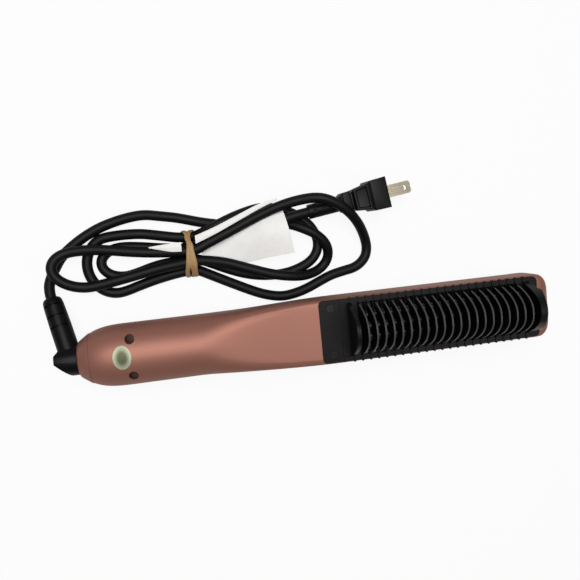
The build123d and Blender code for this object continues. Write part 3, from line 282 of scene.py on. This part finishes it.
# Glass-filled nylon, moulded: near black with a satin skin and a very fine grain. Above their
# feet the fins' rims, which look up or sideways, are painted grey as a highlight where they catch
# the light, and the plate's and the end blocks' rims get only a faint painted highlight.
for piece_names, finish, highlight_grey in (
        (("guard_frame", "guard_end_blocks"), "moulded_black_nylon", "0d0d0e"),
        (("guard_fins",), "black_nylon_painted_rim_highlight", "414144")):
    guard_nylon = new_material(finish)
    place = add_node(guard_nylon, "ShaderNodeTexCoord")
    grain = add_node(guard_nylon, "ShaderNodeTexNoise", {},
                     {"Vector": (place, "Object"), "Scale": 1100.0, "Detail": 3.0})
    streaks = add_node(guard_nylon, "ShaderNodeTexNoise", {},
                       {"Vector": (place, "Object"), "Scale": 60.0, "Detail": 3.0})
    tone = add_node(guard_nylon, "ShaderNodeMix", {"data_type": "RGBA"},
                    {0: (streaks, "Fac"), 6: colour("040405"), 7: colour("0a0a0b")})
    faces = add_node(guard_nylon, "ShaderNodeNewGeometry")
    facing = add_node(guard_nylon, "ShaderNodeSeparateXYZ", {}, {0: (faces, "Normal")})
    lengthways = add_node(guard_nylon, "ShaderNodeMath", {"operation": "ABSOLUTE"},
                          {0: (facing, "X")})
    rim = add_node(guard_nylon, "ShaderNodeMapRange", {},
                   {"Value": (lengthways, 0), "From Min": 0.3, "From Max": 0.7,
                    "To Min": 1.0, "To Max": 0.0})
    spot = add_node(guard_nylon, "ShaderNodeSeparateXYZ", {}, {0: (place, "Object")})
    # The rims' grey above the fins' feet is a painted highlight.
    raised = add_node(guard_nylon, "ShaderNodeMath", {"operation": "GREATER_THAN"},
                      {0: (spot, "Z"), 1: FIN_FOOT_HEIGHT * MM})
    painted_rim_highlight = add_node(guard_nylon, "ShaderNodeMath", {"operation": "MULTIPLY"},
                      {0: (rim, "Result"), 1: (raised, 0)})
    tone = add_node(guard_nylon, "ShaderNodeMix", {"data_type": "RGBA"},
                    {0: (painted_rim_highlight, 0), 6: (tone, 2), 7: colour(highlight_grey)})
    gloss = add_node(guard_nylon, "ShaderNodeMapRange", {},
                     {"Value": (streaks, "Fac"), "To Min": 0.32, "To Max": 0.46})
    bump = add_node(guard_nylon, "ShaderNodeBump", {},
                    {"Height": (grain, "Fac"), "Strength": 0.12, "Distance": 0.0001})
    nylon = add_node(guard_nylon, "ShaderNodeBsdfPrincipled", {},
                     {"Base Color": (tone, 2), "Roughness": (gloss, "Result"),
                      "Normal": (bump, "Normal"), "IOR": 1.5, "Specular IOR Level": 0.16})
    add_node(guard_nylon, "ShaderNodeOutputMaterial", {}, {"Surface": (nylon, "BSDF")})
    dress(piece_names, guard_nylon)


# The heated fins and their base: an aluminium die casting whose lobed fins stand between the
# guard's fins, coated with a black ceramic varnish.

# Ceramic varnish on cast aluminium: glossy black with tiny pits, so each lobe's top glints.
fin_varnish = new_material("ceramic_varnished_aluminium")
place = add_node(fin_varnish, "ShaderNodeTexCoord")
pits = add_node(fin_varnish, "ShaderNodeTexVoronoi", {},
                {"Vector": (place, "Object"), "Scale": 1300.0})
bump = add_node(fin_varnish, "ShaderNodeBump", {},
                {"Height": (pits, "Distance"), "Strength": 0.25, "Distance": 0.0001})
gloss = add_node(fin_varnish, "ShaderNodeMapRange", {},
                 {"Value": (pits, "Distance"), "To Min": 0.2, "To Max": 0.36})
varnish = add_node(fin_varnish, "ShaderNodeBsdfPrincipled", {},
                   {"Base Color": colour("050506"), "Roughness": (gloss, "Result"),
                    "Normal": (bump, "Normal"), "IOR": 1.5, "Specular IOR Level": 0.3})
add_node(fin_varnish, "ShaderNodeOutputMaterial", {}, {"Surface": (varnish, "BSDF")})
dress(("heated_fins", "heating_base"), fin_varnish)


# The screws: cross-recessed pan heads. Those of the comb guard are blackened, and the others,
# in the handle's deep holes and inside, are zinc-plated steel painted a dark red-brown, which is
# painted shade of the deep holes in the rose shell.

# Turned and plated steel: rings from the die show as a fine brushed change of gloss.
# The zinc-plated heads' dark red-brown is painted shade of the handle's deep holes.
for screw_names, finish, hex_value, rough in (
        (("comb_screws",), "blackened_screw_steel", "2a2a2c", 0.32),
        (("handle_screws", "tray_screws", "board_screws"), "zinc_plated_steel_painted_hole_shade", "362a25", 0.42)):
    screw_steel = new_material(finish)
    place = add_node(screw_steel, "ShaderNodeTexCoord")
    turning = add_node(screw_steel, "ShaderNodeTexNoise", {},
                       {"Vector": (place, "Object"), "Scale": 2200.0, "Detail": 2.0})
    gloss = add_node(screw_steel, "ShaderNodeMapRange", {},
                     {"Value": (turning, "Fac"), "To Min": rough - 0.08, "To Max": rough + 0.1})
    steel = add_node(screw_steel, "ShaderNodeBsdfPrincipled", {},
                     {"Base Color": colour(hex_value), "Roughness": (gloss, "Result"),
                      "Metallic": 1.0})
    add_node(screw_steel, "ShaderNodeOutputMaterial", {}, {"Surface": (steel, "BSDF")})
    dress(screw_names, screw_steel)


# The controls on the back: a glossy panel let into the shell, three round buttons, a smoked
# window and the display behind it.

# Moulded plastics: the panel and the window are polished, and the buttons have a fine texture.
for piece_names, finish, hex_value, rough in (
        (("control_panel",), "polished_black_abs", "08080a", 0.12),
        (("display_window",), "smoked_acrylic", "050608", 0.06),
        (("power_button", "minus_button", "plus_button"), "textured_black_abs", "1c1c1f", 0.48)):
    plastic = new_material(finish)
    place = add_node(plastic, "ShaderNodeTexCoord")
    texture = add_node(plastic, "ShaderNodeTexNoise", {},
                       {"Vector": (place, "Object"), "Scale": 700.0, "Detail": 2.0})
    gloss = add_node(plastic, "ShaderNodeMapRange", {},
                     {"Value": (texture, "Fac"), "To Min": 0.7 * rough, "To Max": 1.3 * rough})
    bump = add_node(plastic, "ShaderNodeBump", {},
                    {"Height": (texture, "Fac"), "Strength": 0.3 * rough, "Distance": 0.0001})
    skin = add_node(plastic, "ShaderNodeBsdfPrincipled", {},
                    {"Base Color": colour(hex_value), "Roughness": (gloss, "Result"),
                     "Normal": (bump, "Normal"), "IOR": 1.5})
    add_node(plastic, "ShaderNodeOutputMaterial", {}, {"Surface": (skin, "BSDF")})
    dress(piece_names, plastic)


# The parts inside the shells, which show only where the casing is opened: heaters, insulation,
# clamp, tray, wires, board and its components, and the swivel's spindle, clip and contacts.

# Each has its own finish, with a slight unevenness of colour and gloss.
for piece_names, finish, dark, light, rough, metallic in (
        (("ptc_heaters",), "sintered_ceramic", "b0aa9a", "cfc9b8", 0.7, 0.0),
        (("insulation_sheet",), "polyimide_film", "7d4a12", "a5682a", 0.3, 0.0),
        (("clamp_plate", "swivel_clip"), "spring_steel_sheet", "8b8b8a", "a4a4a2", 0.32, 1.0),
        (("thermal_fuse", "contact_leaves", "slip_rings"), "drawn_brass", "a88745", "c6a55c",
         0.28, 1.0),
        (("thermistor",), "glass_bead", "8a5a20", "b98a45", 0.15, 0.0),
        (("heater_tray", "contact_block"), "moulded_white_pps", "cbc8bd", "dedbd0", 0.5, 0.0),
        (("heater_wires", "supply_wires"), "silicone_wire_sleeve", "8f1512", "b02420", 0.5, 0.0),
        (("control_board",), "green_solder_mask", "0d4a20", "17602c", 0.35, 0.0),
        (("capacitor", "triac", "display_module", "tact_switches"), "moulded_epoxy", "151516",
         "222224", 0.5, 0.0),
        (("swivel_spindle",), "moulded_acetal", "0e0e10", "17171a", 0.4, 0.0)):
    stock = new_material(finish)
    place = add_node(stock, "ShaderNodeTexCoord")
    mottle = add_node(stock, "ShaderNodeTexNoise", {},
                      {"Vector": (place, "Object"), "Scale": 300.0, "Detail": 3.0})
    tone = add_node(stock, "ShaderNodeMix", {"data_type": "RGBA"},
                    {0: (mottle, "Fac"), 6: colour(dark), 7: colour(light)})
    gloss = add_node(stock, "ShaderNodeMapRange", {},
                     {"Value": (mottle, "Fac"), "To Min": 0.85 * rough, "To Max": 1.15 * rough})
    skin = add_node(stock, "ShaderNodeBsdfPrincipled", {},
                    {"Base Color": (tone, 2), "Roughness": (gloss, "Result"), "Metallic": metallic})
    add_node(stock, "ShaderNodeOutputMaterial", {}, {"Surface": (skin, "BSDF")})
    dress(piece_names, stock)


# The swivel's elbow: a blunt wedge of moulded PVC on the hollow spindle, whose strain relief
# leans out to the cord. Slots across the relief's two broad sides let it bend.
ELBOW_FACE_X = -149.6
ELBOW_RADIUS = 9.0
ELBOW_DEPTH = 13.0
ELBOW_ROUNDING = 0.5
# A point of each flat cut that makes the wedge, and the way that the cut faces, from above.
ELBOW_CUTS = (((-155.0, -7.6), (-13.2, -6.3)), ((-161.2, 6.2), (-1.6, 1.9)))
# The short stub that enters the tail's cap.
STUB_RADIUS = 5.9
STUB_DEPTH = 1.6
# The strain relief starts inside the wedge. Each section is a place along it and a radius.
LEAN_START = (-153.6, 0.0, HANDLE_AXIS_Z)
LEAN_BASE = (0.4, 6.4)
LEAN_SECTIONS = ((20.9, 6.35), (22.0, 6.35), (27.6, 6.2), (28.7, 6.2), (34.4, 6.0), (35.5, 5.95),
                 (37.8, 5.7), (39.2, 5.1), (40.0, 3.9))
LEAN_SLOTS = ((20.9, 22.0), (27.6, 28.7), (34.4, 35.5))
SLOT_MARGIN = 0.1
SLOT_DEPTH = 1.2
QUARTER_TURN = math.radians(90)

# Moulded PVC: blacker and duller than the cord, with a fine spark-eroded grain. The elbow, the
# plug and its strain relief are all moulded from it.
boot_pvc = new_material("moulded_black_pvc")
place = add_node(boot_pvc, "ShaderNodeTexCoord")
grain = add_node(boot_pvc, "ShaderNodeTexNoise", {},
                 {"Vector": (place, "Object"), "Scale": 1300.0, "Detail": 3.0})
cloud = add_node(boot_pvc, "ShaderNodeTexNoise", {},
                 {"Vector": (place, "Object"), "Scale": 120.0, "Detail": 2.0})
tone = add_node(boot_pvc, "ShaderNodeMix", {"data_type": "RGBA"},
                {0: (cloud, "Fac"), 6: colour("040405"), 7: colour("0a0a0c")})
gloss = add_node(boot_pvc, "ShaderNodeMapRange", {},
                 {"Value": (cloud, "Fac"), "To Min": 0.34, "To Max": 0.48})
bump = add_node(boot_pvc, "ShaderNodeBump", {},
                {"Height": (grain, "Fac"), "Strength": 0.18, "Distance": 0.00015})
skin = add_node(boot_pvc, "ShaderNodeBsdfPrincipled", {},
                {"Base Color": (tone, 2), "Roughness": (gloss, "Result"), "Normal": (bump, "Normal"),
                 "IOR": 1.5, "Specular IOR Level": 0.14})
add_node(boot_pvc, "ShaderNodeOutputMaterial", {}, {"Surface": (skin, "BSDF")})


def select_faces(piece, wanted):
    """Leaves the piece in edit mode, with the faces selected that are wanted."""
    bpy.ops.object.mode_set(mode="EDIT")
    bpy.ops.mesh.select_mode(type="FACE")
    bpy.ops.mesh.select_all(action="DESELECT")
    bpy.ops.object.mode_set(mode="OBJECT")
    for face in piece.data.polygons:
        face.select = wanted(face)
    bpy.ops.object.mode_set(mode="EDIT")


def draw_out(piece, base, sections):
    """Extrudes the piece's top face upwards, from its base through sections of height and sizes."""
    select_faces(piece, lambda face: face.normal.z > 0.9)
    height, size_x, size_y = base
    for next_height, next_x, next_y in sections:
        bpy.ops.mesh.extrude_region_move(
            TRANSFORM_OT_translate={"value": (0, 0, (next_height - height) * MM)})
        bpy.ops.transform.resize(value=(next_x / size_x, next_y / size_y, 1))
        height, size_x, size_y = next_height, next_x, next_y
    bpy.ops.object.mode_set(mode="OBJECT")


def round_edges(piece, width, segments, angle):
    """Rounds the edges of the piece that turn by more than an angle in degrees."""
    rounding = piece.modifiers.new("rounding", "BEVEL")
    rounding.width = width * MM
    rounding.segments = segments
    rounding.limit_method = "ANGLE"
    rounding.angle_limit = math.radians(angle)
    bpy.ops.object.modifier_apply(modifier=rounding.name)


def join(pieces, name):
    """Joins meshes into the first one, and names it."""
    bpy.ops.object.select_all(action="DESELECT")
    for piece in pieces:
        piece.select_set(True)
    bpy.context.view_layer.objects.active = pieces[0]
    bpy.ops.object.join()
    pieces[0].name = pieces[0].data.name = name
    return pieces[0]


bpy.ops.object.select_all(action="DESELECT")
bpy.ops.mesh.primitive_cylinder_add(
    vertices=64, radius=ELBOW_RADIUS * MM, depth=ELBOW_DEPTH * MM, rotation=(0, QUARTER_TURN, 0),
    location=((ELBOW_FACE_X - ELBOW_DEPTH / 2) * MM, 0, HANDLE_AXIS_Z * MM))
wedge = bpy.context.object
bpy.ops.object.transform_apply(location=True, rotation=True, scale=True)
bpy.ops.object.mode_set(mode="EDIT")
for (cut_x, cut_y), (away_x, away_y) in ELBOW_CUTS:
    bpy.ops.mesh.select_all(action="SELECT")
    bpy.ops.mesh.bisect(plane_co=(cut_x * MM, cut_y * MM, 0), plane_no=(away_x, away_y, 0),
                        use_fill=True, clear_outer=True)
bpy.ops.object.mode_set(mode="OBJECT")
round_edges(wedge, ELBOW_ROUNDING, 3, 30)

bpy.ops.object.select_all(action="DESELECT")
bpy.ops.mesh.primitive_cylinder_add(
    vertices=48, radius=STUB_RADIUS * MM, depth=2 * STUB_DEPTH * MM, rotation=(0, QUARTER_TURN, 0),
    location=(ELBOW_FACE_X * MM, 0, HANDLE_AXIS_Z * MM))
stub = bpy.context.object
bpy.ops.object.transform_apply(location=True, rotation=True, scale=True)

bpy.ops.object.select_all(action="DESELECT")
bpy.ops.mesh.primitive_cylinder_add(vertices=40, radius=LEAN_BASE[1] * MM, depth=LEAN_BASE[0] * MM,
                                    location=(0, 0, LEAN_BASE[0] / 2 * MM))
lean = bpy.context.object
bpy.ops.object.transform_apply(location=True, rotation=True, scale=True)
draw_out(lean, (LEAN_BASE[0], LEAN_BASE[1], LEAN_BASE[1]),
         [(along, radius, radius) for along, radius in LEAN_SECTIONS])
select_faces(lean, lambda face: abs(face.normal.y) > 0.6 and any(
    low < face.center.z / MM < high for low, high in LEAN_SLOTS))
bpy.ops.mesh.inset(thickness=SLOT_MARGIN * MM, depth=-SLOT_DEPTH * MM)
bpy.ops.object.mode_set(mode="OBJECT")
lean_direction = Vector(route[0]) - Vector(LEAN_START)
lean.rotation_euler = lean_direction.to_track_quat("Z", "Y").to_euler()
lean.location = [c * MM for c in LEAN_START]
bpy.ops.object.transform_apply(location=True, rotation=True, scale=True)

elbow = join([wedge, stub, lean], "swivel_elbow")
bpy.ops.object.shade_smooth_by_angle(angle=math.radians(35))
elbow.data.materials.append(boot_pvc)
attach(elbow, "cord_swivel")
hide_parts("swivel_boot")


# The plug's strain relief: a soft PVC sleeve moulded on the cord, with a lattice of small
# pockets that lets it bend.
RELIEF_LENGTH = 21.4
RELIEF_RADIUS = 4.6
RELIEF_ROWS = 8
RELIEF_COLUMNS = 14
RELIEF_ROUNDING = 0.15
POCKET_WALL = 0.35
POCKET_SLOPE = 0.15
POCKET_DEPTH = 0.9


def is_pocket(face):
    """Whether a face of the sleeve is a pocket: every second one, but none in the end rows."""
    row = math.floor((face.center.z / MM + RELIEF_LENGTH / 2) / RELIEF_LENGTH * RELIEF_ROWS)
    turn = math.atan2(face.center.y, face.center.x) / (2 * math.pi)
    column = round(turn * RELIEF_COLUMNS)
    return abs(face.normal.z) < 0.5 and 0 < row < RELIEF_ROWS - 1 and (row + column) % 2 == 0


bpy.ops.object.select_all(action="DESELECT")
bpy.ops.mesh.primitive_cylinder_add(vertices=RELIEF_COLUMNS, radius=RELIEF_RADIUS * MM,
                                    depth=RELIEF_LENGTH * MM, end_fill_type="NGON")
relief = bpy.context.object
relief.name = relief.data.name = "plug_strain_relief"
bpy.ops.object.mode_set(mode="EDIT")
bpy.ops.mesh.select_mode(type="EDGE")
bpy.ops.mesh.select_all(action="DESELECT")
bpy.ops.object.mode_set(mode="OBJECT")
for edge in relief.data.edges:
    start, end = (relief.data.vertices[i].co for i in edge.vertices)
    edge.select = abs(start.z - end.z) > RELIEF_LENGTH * MM / 2
bpy.ops.object.mode_set(mode="EDIT")
bpy.ops.mesh.subdivide(number_cuts=RELIEF_ROWS - 1)
select_faces(relief, is_pocket)
bpy.ops.mesh.inset(thickness=POCKET_WALL * MM, use_individual=True)
bpy.ops.mesh.inset(thickness=POCKET_SLOPE * MM, depth=-POCKET_DEPTH * MM, use_individual=True)
bpy.ops.object.mode_set(mode="OBJECT")
round_edges(relief, RELIEF_ROUNDING, 2, 30)
bpy.ops.object.shade_smooth_by_angle(angle=math.radians(35))
relief.rotation_euler = (0, QUARTER_TURN, PLUG_YAW)
relief.location = [c * MM for c in plug_point(RELIEF_LENGTH / 2)]
bpy.ops.object.transform_apply(location=True, rotation=True, scale=True)
relief.data.materials.append(boot_pvc)
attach(relief, "cord_swivel")
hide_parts("plug_boot")


# The plug: PVC moulded round the blades in one shot, with a stepped neck, a finger panel let
# into each broad side and a flange at the face.
# Each section is a place past the cord's entry, then the plug's height and width there.
PLUG_NECK = (21.0, 12.0, 11.0)
PLUG_FIRST_STEP = 0.6
PLUG_SECTIONS = ((22.6, 13.2, 12.6), (27.0, 13.6, 13.0), (27.4, 11.0, 10.6), (28.6, 11.4, 11.0),
                 (29.4, 14.6, 13.2), (39.0, 20.0, 16.4), (40.2, 22.0, 19.0), (50.4, 22.4, 19.6))
PLUG_ROUNDING = 1.1
PANEL_SPAN = (30, 38)
PANEL_MARGIN = 1.4
PANEL_SLOPE = 0.3
PANEL_DEPTH = 0.9

bpy.ops.object.select_all(action="DESELECT")
bpy.ops.mesh.primitive_cube_add(size=1, location=(0, 0, 0))
plug = bpy.context.object
plug.name = plug.data.name = "moulded_plug"
plug.scale = (PLUG_NECK[1] * MM, PLUG_NECK[2] * MM, PLUG_FIRST_STEP * MM)
plug.location = (0, 0, (PLUG_NECK[0] + PLUG_FIRST_STEP / 2) * MM)
bpy.ops.object.transform_apply(location=True, rotation=True, scale=True)
draw_out(plug, (PLUG_NECK[0] + PLUG_FIRST_STEP, PLUG_NECK[1], PLUG_NECK[2]), PLUG_SECTIONS)
select_faces(plug, lambda face: abs(face.normal.x) > 0.8
             and PANEL_SPAN[0] < face.center.z / MM < PANEL_SPAN[1])
bpy.ops.mesh.inset(thickness=PANEL_MARGIN * MM, use_individual=True)
bpy.ops.mesh.inset(thickness=PANEL_SLOPE * MM, depth=-PANEL_DEPTH * MM, use_individual=True)
bpy.ops.object.mode_set(mode="OBJECT")
round_edges(plug, PLUG_ROUNDING, 3, 25)
bpy.ops.object.shade_smooth_by_angle(angle=math.radians(40))
plug.rotation_euler = (0, QUARTER_TURN, PLUG_YAW)
plug.location = [c * MM for c in plug_point(0)]
bpy.ops.object.transform_apply(location=True, rotation=True, scale=True)
plug.data.materials.append(boot_pvc)
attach(plug, "cord_swivel")
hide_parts("plug_body")


# The plug's two blades: stamped from brass strip, bevelled at the tips and nickel plated, and
# held by the plug that is moulded round them.

# Nickel plate on brass: a warm pale metal with draw lines along the strip.
blade_nickel = new_material("nickel_plated_brass")
place = add_node(blade_nickel, "ShaderNodeTexCoord")
stretched = add_node(blade_nickel, "ShaderNodeMapping", {},
                     {"Vector": (place, "Object"), "Scale": (60.0, 1500.0, 1500.0)})
lines = add_node(blade_nickel, "ShaderNodeTexNoise", {},
                 {"Vector": (stretched, "Vector"), "Scale": 1.0, "Detail": 2.0})
tone = add_node(blade_nickel, "ShaderNodeMix", {"data_type": "RGBA"},
                {0: (lines, "Fac"), 6: colour("7d7567"), 7: colour("a39b8b")})
gloss = add_node(blade_nickel, "ShaderNodeMapRange", {},
                 {"Value": (lines, "Fac"), "To Min": 0.2, "To Max": 0.38})
plate = add_node(blade_nickel, "ShaderNodeBsdfPrincipled", {},
                 {"Base Color": (tone, 2), "Roughness": (gloss, "Result"), "Metallic": 1.0})
add_node(blade_nickel, "ShaderNodeOutputMaterial", {}, {"Surface": (plate, "BSDF")})
dress(("plug_blades",), blade_nickel)


# The rubber band at the waist: one loop of natural rubber, drawn round the strands in three
# turns that lie side by side, cross a little and pinch in at the top.
# The loop is given across the hank and upwards, from underneath and round over the top.
BAND_LOOP = ((44.0, 0.9), (52.0, 0.6), (60.0, 0.6), (66.5, 0.9), (69.9, 2.9), (69.6, 6.4),
             (66.0, 11.6), (61.2, 14.9), (55.0, 15.4), (48.8, 15.0), (44.6, 11.2), (41.6, 6.6),
             (41.3, 3.2))
# The middle of each turn, and how far it wanders sideways at each point of the loop.
BAND_TURNS = ((-79.6, (0, 0, 0, -0.2, -0.4, 0.3, 1.0, 1.1, 0.6, 0.3, -0.2, -0.1, 0)),
              (-76.9, (0, 0, 0, 0.4, 1.3, 0.4, -0.9, 0.5, 0.2, -0.1, 0.5, 0.2, 0)),
              (-74.8, (0, 0, 0, 0.2, 0.3, -0.8, -1.3, -1.0, -0.3, 0, -0.2, 0, 0)))
BAND_HALF_WIDTH = 1.45
BAND_HALF_THICKNESS = 0.65

# Natural rubber: matt tan, with fine lines along each turn.
band_rubber = new_material("natural_rubber_band")
place = add_node(band_rubber, "ShaderNodeTexCoord")
stretched = add_node(band_rubber, "ShaderNodeMapping", {},
                     {"Vector": (place, "Object"), "Scale": (1400.0, 60.0, 60.0)})
lines = add_node(band_rubber, "ShaderNodeTexNoise", {},
                 {"Vector": (stretched, "Vector"), "Scale": 1.0, "Detail": 2.0})
tone = add_node(band_rubber, "ShaderNodeMix", {"data_type": "RGBA"},
                {0: (lines, "Fac"), 6: colour("80603a"), 7: colour("b89463")})
bump = add_node(band_rubber, "ShaderNodeBump", {},
                {"Height": (lines, "Fac"), "Strength": 0.3, "Distance": 0.0004})
skin = add_node(band_rubber, "ShaderNodeBsdfPrincipled", {},
                {"Base Color": (tone, 2), "Normal": (bump, "Normal"), "Roughness": 0.62})
add_node(band_rubber, "ShaderNodeOutputMaterial", {}, {"Surface": (skin, "BSDF")})

turns = []
for middle, wander in BAND_TURNS:
    turn_curve = bpy.data.curves.new("rubber_band_turn", "CURVE")
    turn_curve.dimensions = "3D"
    turn_curve.resolution_u = 6
    turn_curve.bevel_depth = BAND_HALF_THICKNESS * MM
    turn_curve.bevel_resolution = 4
    turn_line = turn_curve.splines.new("NURBS")
    turn_line.points.add(len(BAND_LOOP) - 1)
    for point, (y, z), aside in zip(turn_line.points, BAND_LOOP, wander):
        point.co = ((middle + aside) * MM, y * MM, z * MM, 1)
    turn_line.order_u = 3
    turn_line.use_cyclic_u = True
    turn = bpy.data.objects.new("rubber_band_turn", turn_curve)
    bpy.context.collection.objects.link(turn)
    bpy.ops.object.select_all(action="DESELECT")
    turn.select_set(True)
    bpy.context.view_layer.objects.active = turn
    bpy.ops.object.convert(target="MESH")
    for vertex in turn.data.vertices:
        aside = (vertex.co.x / MM - middle) * BAND_HALF_WIDTH / BAND_HALF_THICKNESS
        vertex.co.x = (middle + aside) * MM
    turns.append(turn)
band = join(turns, "rubber_band_turns")
bpy.ops.object.shade_smooth_by_angle(angle=math.radians(50))
band.data.materials.append(band_rubber)
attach(band, "cord_swivel")
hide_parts("rubber_band")


# The instruction sheet that the band holds: a strip of coated paper, folded and left bare.
# A flag, a fold and an end of it show. Each is given by three points across it, in millimetres,
# at each of a few places along it.
# The flag lies over the strand that runs to the plug and under the one that the fold follows.
FLAG_ROWS = (((-70.0, 50.0, 7.3), (-70.0, 53.5, 7.3), (-70.0, 57.5, 7.4)),
             ((-55.0, 46.0, 6.9), (-55.0, 57.0, 7.2), (-55.0, 65.0, 8.0)),
             ((-41.0, 46.6, 7.8), (-41.0, 60.5, 10.6), (-41.0, 71.5, 9.2)),
             ((-28.0, 48.4, 11.2), (-29.0, 64.5, 14.0), (-30.0, 76.0, 11.0)),
             ((-12.4, 49.7, 14.2), (-15.0, 65.0, 15.6), (-17.6, 78.0, 12.8)))
# The fold lies on the upper strand, and the end sticks out past the band.
FOLD_ROWS = (((-73.1, 61.6, 14.0), (-73.1, 64.0, 14.2), (-73.1, 66.4, 13.6)),
             ((-60.0, 66.6, 14.4), (-60.4, 68.6, 14.6), (-61.0, 70.4, 14.0)),
             ((-46.0, 72.8, 14.6), (-46.4, 74.4, 14.8), (-47.0, 76.0, 14.2)),
             ((-32.0, 79.0, 15.2), (-32.4, 80.3, 15.4), (-33.0, 81.6, 15.0)),
             ((-20.4, 83.4, 16.6), (-20.6, 84.0, 16.8), (-20.9, 84.7, 16.6)))
END_ROWS = (((-101.5, 61.7, 13.2), (-101.5, 62.0, 13.3), (-101.5, 62.3, 13.2)),
            ((-95.0, 60.0, 13.6), (-95.2, 61.4, 14.0), (-95.4, 62.8, 13.6)),
            ((-88.0, 58.2, 14.0), (-88.2, 61.0, 14.4), (-88.4, 63.2, 14.0)),
            ((-82.0, 57.8, 14.2), (-82.0, 60.9, 14.6), (-82.0, 63.4, 14.2)))
SHEET_THICKNESS = 0.35
STEPS_ALONG = 24
STEPS_ACROSS = 10

# Coated paper: nearly white, with a faint fibre cloud and handling creases.
sheet_paper = new_material("coated_white_paper")
place = add_node(sheet_paper, "ShaderNodeTexCoord")
fibres = add_node(sheet_paper, "ShaderNodeTexNoise", {},
                  {"Vector": (place, "Object"), "Scale": 260.0, "Detail": 5.0})
creases = add_node(sheet_paper, "ShaderNodeTexNoise", {},
                   {"Vector": (place, "Object"), "Scale": 45.0, "Detail": 1.0})
tone = add_node(sheet_paper, "ShaderNodeMix", {"data_type": "RGBA"},
                {0: (fibres, "Fac"), 6: colour("d9d7d4"), 7: colour("e8e6e3")})
bump = add_node(sheet_paper, "ShaderNodeBump", {},
                {"Height": (creases, "Fac"), "Strength": 0.5, "Distance": 0.001})
skin = add_node(sheet_paper, "ShaderNodeBsdfPrincipled", {},
                {"Base Color": (tone, 2), "Normal": (bump, "Normal"), "Roughness": 0.5})
add_node(sheet_paper, "ShaderNodeOutputMaterial", {}, {"Surface": (skin, "BSDF")})


def through(points, share):
    """The place at a share of the way along a smooth line through evenly spread points."""
    reach = share * (len(points) - 1)
    i = min(int(reach), len(points) - 2)
    around = (points[min(max(i + k, 0), len(points) - 1)] for k in (-1, 0, 1, 2))
    before, start, end, after = (Vector(point) for point in around)
    u = reach - i
    pull = (end - before) / 2
    push = (after - start) / 2
    return (start * (2 * u**3 - 3 * u**2 + 1) + end * (3 * u**2 - 2 * u**3)
            + pull * (u**3 - 2 * u**2 + u) + push * (u**3 - u**2))


strips = []
for rows in (FLAG_ROWS, FOLD_ROWS, END_ROWS):
    bpy.ops.object.select_all(action="DESELECT")
    bpy.ops.mesh.primitive_grid_add(x_subdivisions=STEPS_ALONG, y_subdivisions=STEPS_ACROSS, size=1)
    strip = bpy.context.object
    for vertex in strip.data.vertices:
        along, across = vertex.co.x + 0.5, vertex.co.y + 0.5
        crossing = [through(line, along) for line in zip(*rows)]
        vertex.co = through(crossing, across) * MM
    strips.append(strip)
sheet = join(strips, "instruction_sheet")
body = sheet.modifiers.new("body", "SOLIDIFY")
body.thickness = SHEET_THICKNESS * MM
body.offset = 0
bpy.ops.object.modifier_apply(modifier=body.name)
bpy.ops.object.shade_smooth_by_angle(angle=math.radians(30))
sheet.data.materials.append(sheet_paper)
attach(sheet, "cord_swivel")
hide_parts("cord_tag")


# The floor is a white table top, in soft light from a large lamp overhead and a weaker one
# beside it. None of them is part of the brush.
FLOOR_SIZE = 6
FLOOR_BRIGHTNESS = 1.04
# How much of that brightness is in the floor, the rest being paint that takes the shadows, and
# how much of it the reflections see.
GLOW_SHARE = 0.86
REFLECTED_SHARE = 0.28
ROOM_LIGHT = 0.22
LAMP_AIM = Vector((0, 0.03, 0))
LAMPS = (("overhead_softbox", (-0.12, 0.28, 1.1), 0.8, 12.0),
         ("side_softbox", (0.6, -0.2, 1.1), 0.25, 1.2))

bpy.ops.object.select_all(action="DESELECT")
bpy.ops.mesh.primitive_plane_add(size=FLOOR_SIZE, location=(0, 0, 0))
floor = bpy.context.object
floor.name = "white_table"

# White laminate. Seen directly it is as bright as a photographer's background.
table_white = new_material("white_table_laminate")
ray = add_node(table_white, "ShaderNodeLightPath")
reflected = add_node(table_white, "ShaderNodeMath", {"operation": "MULTIPLY"},
                     {0: (ray, "Is Glossy Ray"), 1: REFLECTED_SHARE})
seen = add_node(table_white, "ShaderNodeMath", {"operation": "MAXIMUM"},
                {0: (ray, "Is Camera Ray"), 1: (reflected, 0)})
share = add_node(table_white, "ShaderNodeMath", {"operation": "MULTIPLY"},
                 {0: (seen, 0), 1: GLOW_SHARE})
matt = add_node(table_white, "ShaderNodeBsdfDiffuse", {}, {"Color": colour("c8c8c8")})
glow = add_node(table_white, "ShaderNodeEmission", {},
                {"Color": colour("ffffff"), "Strength": FLOOR_BRIGHTNESS})
both = add_node(table_white, "ShaderNodeMixShader", {}, {0: (share, 0), 1: (matt, 0), 2: (glow, 0)})
add_node(table_white, "ShaderNodeOutputMaterial", {}, {"Surface": (both, 0)})
floor.data.materials.append(table_white)

# The room: white to the camera, and a weak even light on the brush.
world = bpy.data.worlds.new("white_room")
bpy.context.scene.world = world
world.use_nodes = True
room = world.node_tree.nodes["Background"]
room.inputs["Color"].default_value = colour("ffffff")
ray = add_node(world, "ShaderNodeLightPath")
level = add_node(world, "ShaderNodeMapRange", {},
                 {"Value": (ray, "Is Camera Ray"), "To Min": ROOM_LIGHT, "To Max": 1.0})
world.node_tree.links.new(level.outputs["Result"], room.inputs["Strength"])

for name, position, size, power in LAMPS:
    lamp_data = bpy.data.lights.new(name, "AREA")
    lamp_data.size = size
    lamp_data.energy = power
    lamp = bpy.data.objects.new(name, lamp_data)
    bpy.context.collection.objects.link(lamp)
    lamp.location = position
    lamp.rotation_euler = (Vector(position) - LAMP_AIM).to_track_quat("Z", "Y").to_euler()

bpy.context.scene.view_settings.view_transform = "Standard"
